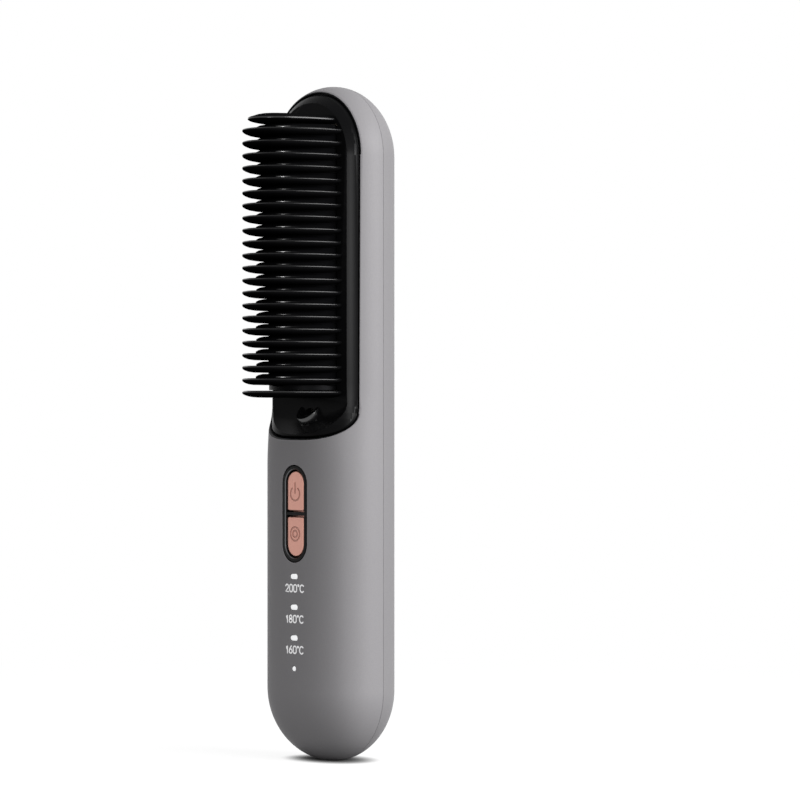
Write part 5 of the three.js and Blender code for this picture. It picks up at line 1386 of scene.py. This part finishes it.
class BuildHeater(bpy.types.Operator):
    """Builds the barrel, its coating and its fins"""

    bl_idname = "brush.build_heater"
    bl_label = "Heater"

    def execute(self, context):
        scene, comb = context.scene, context.scene.brush_comb
        # The barrel's metal is near black: painted shade for the dark gaps between the blades, where bright
        # metal would show the white background
        bare = metal_finish("barrel_metal", (0.007, 0.007, 0.0075), 0.45, (1, 1, 6))
        coated = moulded_finish("fin_coating", (0.004, 0.004, 0.0045), 0.12, 0.001, 0.0, 2.0)
        finish_piece(build_barrel(scene), bare, ("heater_plate",))
        finish_piece(build_coat(scene), coated)
        pitch, tree = row_pitch(comb), rows_tree("fin_rows")
        # Every other fin is a little taller and catches more light
        sets = [repeat(build_fin(scene, taller * MM, polish), tree, Rows=(comb.rows - 2 - first) // 2 + 1,
                       Start=(0, 0, comb.first_row + pitch * first), Step=(0, 0, 2 * pitch), Finish=coated)
                for first, taller, polish in ((1, 0.25, 1.0), (2, 0.0, 0.3))]
        finish_piece(joined("heater_fins", sets), coated)
        return {"FINISHED"}


class BuildButtons(bpy.types.Operator):
    """Builds the bezel and the two rose gold caps"""

    bl_idname = "brush.build_buttons"
    bl_label = "Buttons"

    def execute(self, context):
        scene, looks = context.scene, context.scene.brush_finishes
        ring = bezel_finish("bezel_ring", looks.gloss_black, (0.1, 0.102, 0.106))
        finish_piece(build_bezel(scene), ring, replaces=("button_bezel",), degrees=40)
        rose = rose_finish("rose_gold", looks.rose)
        for name, side in (("power", 1), ("temperature", -1)):
            node = name + "_button"
            finish_piece(build_cap(scene, name, side), rose, (node,), node, 35)
        return {"FINISHED"}


class BuildLamps(bpy.types.Operator):
    """Builds the lamp lenses and the printed temperatures"""

    bl_idname = "brush.build_lamps"
    bl_label = "Lamps"

    def execute(self, context):
        scene = context.scene
        capsule = Capsule(scene.brush_body)
        milky = lens_finish("lamp_milk")
        for node, name, z, outline_at in lamps_of(scene.brush_buttons):
            levels = metres(LENS_EDGE, float(capsule.depth(0, z)))
            lens = skin(name, [laid(outline_at(-inset), level) for inset, level in levels])
            finish_piece(lens, milky, (node,))
        # The ink glows a little: painted light that keeps the printed figures bright
        ink = grained_finish("printed_ink", scene.brush_finishes.ink, 0.5, scale=1800, depth=0.002, glow=0.4)
        finish_piece(build_figures(scene), ink, degrees=0)
        return {"FINISHED"}


class BuildFittings(bpy.types.Operator):
    """Builds the rear screws and the charging socket's mouth"""

    bl_idname = "brush.build_fittings"
    bl_label = "Fittings"

    def execute(self, context):
        steel = metal_finish("screw_steel", (0.2, 0.2, 0.205), 0.34)
        finish_piece(build_screws(steel), steel, REAR_SCREWS, degrees=30)
        plate = metal_finish("socket_steel", (0.5, 0.5, 0.5), 0.25, (1, 1, 5))
        finish_piece(build_socket(), plate, ("charging_socket",))
        return {"FINISHED"}


# Finishes of the CAD nodes that stay: colour, roughness, metallic, and how their nodes' names start
INSIDE = {
    "dark_plastic": ((0.02, 0.02, 0.022), 0.5, 0.0, ("battery_cradle", "temperature_sensor", "ion_emitter")),
    "board_green": ((0.02, 0.12, 0.05), 0.45, 0.0, ("main_board", "charging_board")),
    "pale_resin": ((0.66, 0.6, 0.5), 0.55, 0.0,
                   ("insulating_sheet", "heater_carrier", "lamp_chip", "charge_lamp_chip")),
    "ceramic_white": ((0.75, 0.72, 0.66), 0.5, 0.0, ("heater_element",)),
    "bright_steel": ((0.45, 0.46, 0.47), 0.3, 1.0, ("thermal_fuse", "board_screw", "carrier_screw")),
    "nickel": ((0.6, 0.58, 0.52), 0.28, 1.0, ("battery_link_strap", "battery_strap")),
    "cell_wrap": ((0.05, 0.2, 0.4), 0.35, 0.0, ("battery_cell",)),
    "red_lead": ((0.5, 0.02, 0.02), 0.45, 0.0,
                 ("battery_lead_positive", "charging_lead_positive", "ion_lead")),
    "black_lead": ((0.012, 0.012, 0.012), 0.45, 0.0,
                   ("battery_lead_negative", "charging_lead_negative", "sensor_lead")),
    "white_lead": ((0.75, 0.75, 0.73), 0.45, 0.0, ("heater_lead",)),
}


class DressInside(bpy.types.Operator):
    """Gives every CAD node that stays its own finish"""

    bl_idname = "brush.dress_inside"
    bl_label = "Inside"

    def execute(self, context):
        made = {name: grained_finish(name, *looks) for name, (*looks, _) in INSIDE.items()}
        for name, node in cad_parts.items():
            if node.hide_render:
                continue
            chosen = next((look for look, (*_, starts) in INSIDE.items() if name.startswith(starts)),
                          "dark_plastic")
            if not node.material_slots:
                node.data.materials.append(made[chosen])
            for place in node.material_slots:
                place.material = made[chosen]
        return {"FINISHED"}


# Stage


def background_rays(nodes):
    """1 for rays from the camera, off mirrors and through glass, 0 for light that bounces"""
    camera, mirror, glass = (nodes.add("ShaderNodeLightPath", out=label)
                             for label in ("Is Camera Ray", "Is Glossy Ray", "Is Transmission Ray"))
    return camera.math("MAXIMUM", mirror.math("MAXIMUM", glass))


def emptied(owner):
    """The node tree of a new material or world, without its first nodes"""
    owner.use_nodes = True
    owner.node_tree.nodes.clear()
    return Nodes(owner.node_tree)


def stage_floor(stage):
    """A disc whose near part holds the shadow and whose far part is the plain background"""
    count = 64
    corners = [(0, 0, 0)]
    for radius in (0.2, 0.6, 4.0):
        corners += [(x, y, 0) for x, y in circle(radius, (0, 0), count)]
    faces = []
    for i in range(count):
        j = (i + 1) % count
        faces.append((0, 1 + i, 1 + j))
        for base in (1, 1 + count):
            faces.append((base + i, base + count + i, base + count + j, base + j))
    floor = piece_of("stage_floor", corners, faces)
    material = bpy.data.materials.new("studio_floor")
    nodes = emptied(material)
    seen = background_rays(nodes)
    tone = seen * (stage.floor_tone - stage.floor_bounce) + stage.floor_bounce
    matt = nodes.add("ShaderNodeBsdfDiffuse", None, {"Color": tone})
    # Close under the foot the white gives way to the brush's contact shadow
    clear = nodes.add("ShaderNodeAmbientOcclusion", {"samples": 16}, {"Distance": stage.contact}, "AO")
    white = seen * clear.between(0.15, 0.85) * stage.floor_glow
    glow = nodes.add("ShaderNodeEmission", None, {"Strength": white})
    near = nodes.add("ShaderNodeAddShader", None, {0: matt, 1: glow})
    # The floor turns to the plain background away from the brush
    place = nodes.add("ShaderNodeTexCoord", out="Object")
    away = nodes.add("ShaderNodeVectorMath", {"operation": "LENGTH"}, {0: place}, "Value")
    far = nodes.add("ShaderNodeEmission", None, {"Strength": seen})
    both = nodes.add("ShaderNodeMixShader", None, {0: away.between(0.1, 0.4), 1: near, 2: far})
    nodes.add("ShaderNodeOutputMaterial", None, {"Surface": both})
    floor.data.materials.append(material)


def stage_world(scene):
    scene.world = bpy.data.worlds.new("studio")
    nodes = emptied(scene.world)
    white = (1, 1, 1, 1)
    even = nodes.add("ShaderNodeBackground", None, {"Color": white, "Strength": scene.brush_stage.world})
    plain = nodes.add("ShaderNodeBackground", None, {"Color": white, "Strength": 1.0})
    mix = nodes.add("ShaderNodeMixShader", None, {0: background_rays(nodes), 1: even, 2: plain})
    nodes.add("ShaderNodeOutputWorld", None, {"Surface": mix})


def soft_light(name, azimuth, height, distance, size, power, aim=0.11):
    """A soft box round the brush; azimuth 0 is in front of it and 90 to its right"""
    a = math.radians(azimuth)
    data = bpy.data.lights.new(name, "AREA")
    data.shape = "RECTANGLE"
    data.size, data.size_y = size
    data.energy = power
    lamp = placed(name, data)
    place = Vector((distance * math.sin(a), -distance * math.cos(a), height))
    turn = (Vector((0, 0, aim)) - place).to_track_quat("-Z", "Y")
    lamp.matrix_world = Matrix.Translation(place) @ turn.to_matrix().to_4x4()


class BuildStage(bpy.types.Operator):
    """Sets the floor, the light and the camera"""

    bl_idname = "brush.build_stage"
    bl_label = "Stage"

    def execute(self, context):
        scene, stage = context.scene, context.scene.brush_stage
        scene.view_settings.view_transform = "Standard"
        stage_floor(stage)
        stage_world(scene)
        soft_light("key", stage.key_turn, stage.key_height, 0.9, (0.8, 0.7), stage.key_power)
        soft_light("glint", stage.glint_turn, stage.glint_height, 1.2, (0.2, 0.2), stage.glint_power)
        data = bpy.data.cameras.new("view")
        data.sensor_width = 36
        data.lens = stage.lens
        data.shift_x = stage.shift
        camera = placed("view", data)
        turn, distance = math.radians(stage.camera_turn), stage.camera_distance
        camera.location = (distance * math.sin(turn), AXIS_Y - distance * math.cos(turn), stage.camera_height)
        camera.rotation_euler = (math.pi / 2, 0, turn)
        scene.camera = camera
        return {"FINISHED"}


class BrushPanel(bpy.types.Panel):
    """Lists the steps that build the brush and the settings that they use"""

    bl_idname = "VIEW3D_PT_brush"
    bl_label = "Straightening brush"
    bl_space_type = "VIEW_3D"
    bl_region_type = "UI"
    bl_category = "Brush"

    def draw(self, context):
        for step in STEPS:
            self.layout.operator(step.bl_idname)
        for group in GROUPS:
            settings = getattr(context.scene, group)
            box = self.layout.box()
            box.label(text=self.title(group))
            for item in settings.bl_rna.properties:
                if not item.is_readonly and item.identifier != "name":
                    box.prop(settings, item.identifier, text=self.title(item.identifier))

    @staticmethod
    def title(label):
        return label.replace("_", " ").capitalize()


GROUPS = {"brush_body": BodySizes, "brush_comb": CombSizes, "brush_heater": HeaterSizes,
          "brush_buttons": ButtonSizes, "brush_finishes": Finishes, "brush_stage": StageSizes}
STEPS = (BuildStage, BuildShells, BuildComb, BuildHeater, BuildButtons, BuildLamps, BuildFittings,
         DressInside)


def register():
    for label, group in GROUPS.items():
        bpy.utils.register_class(group)
        setattr(bpy.types.Scene, label, bpy.props.PointerProperty(type=group))
    for item in (*STEPS, BrushPanel):
        bpy.utils.register_class(item)


def unregister():
    for item in reversed((*STEPS, BrushPanel)):
        bpy.utils.unregister_class(item)
    for label, group in reversed(GROUPS.items()):
        delattr(bpy.types.Scene, label)
        bpy.utils.unregister_class(group)


def main():
    register()
    for step in STEPS:
        group, name = step.bl_idname.split(".")
        getattr(getattr(bpy.ops, group), name)()


if __name__ == "__main__":
    main()
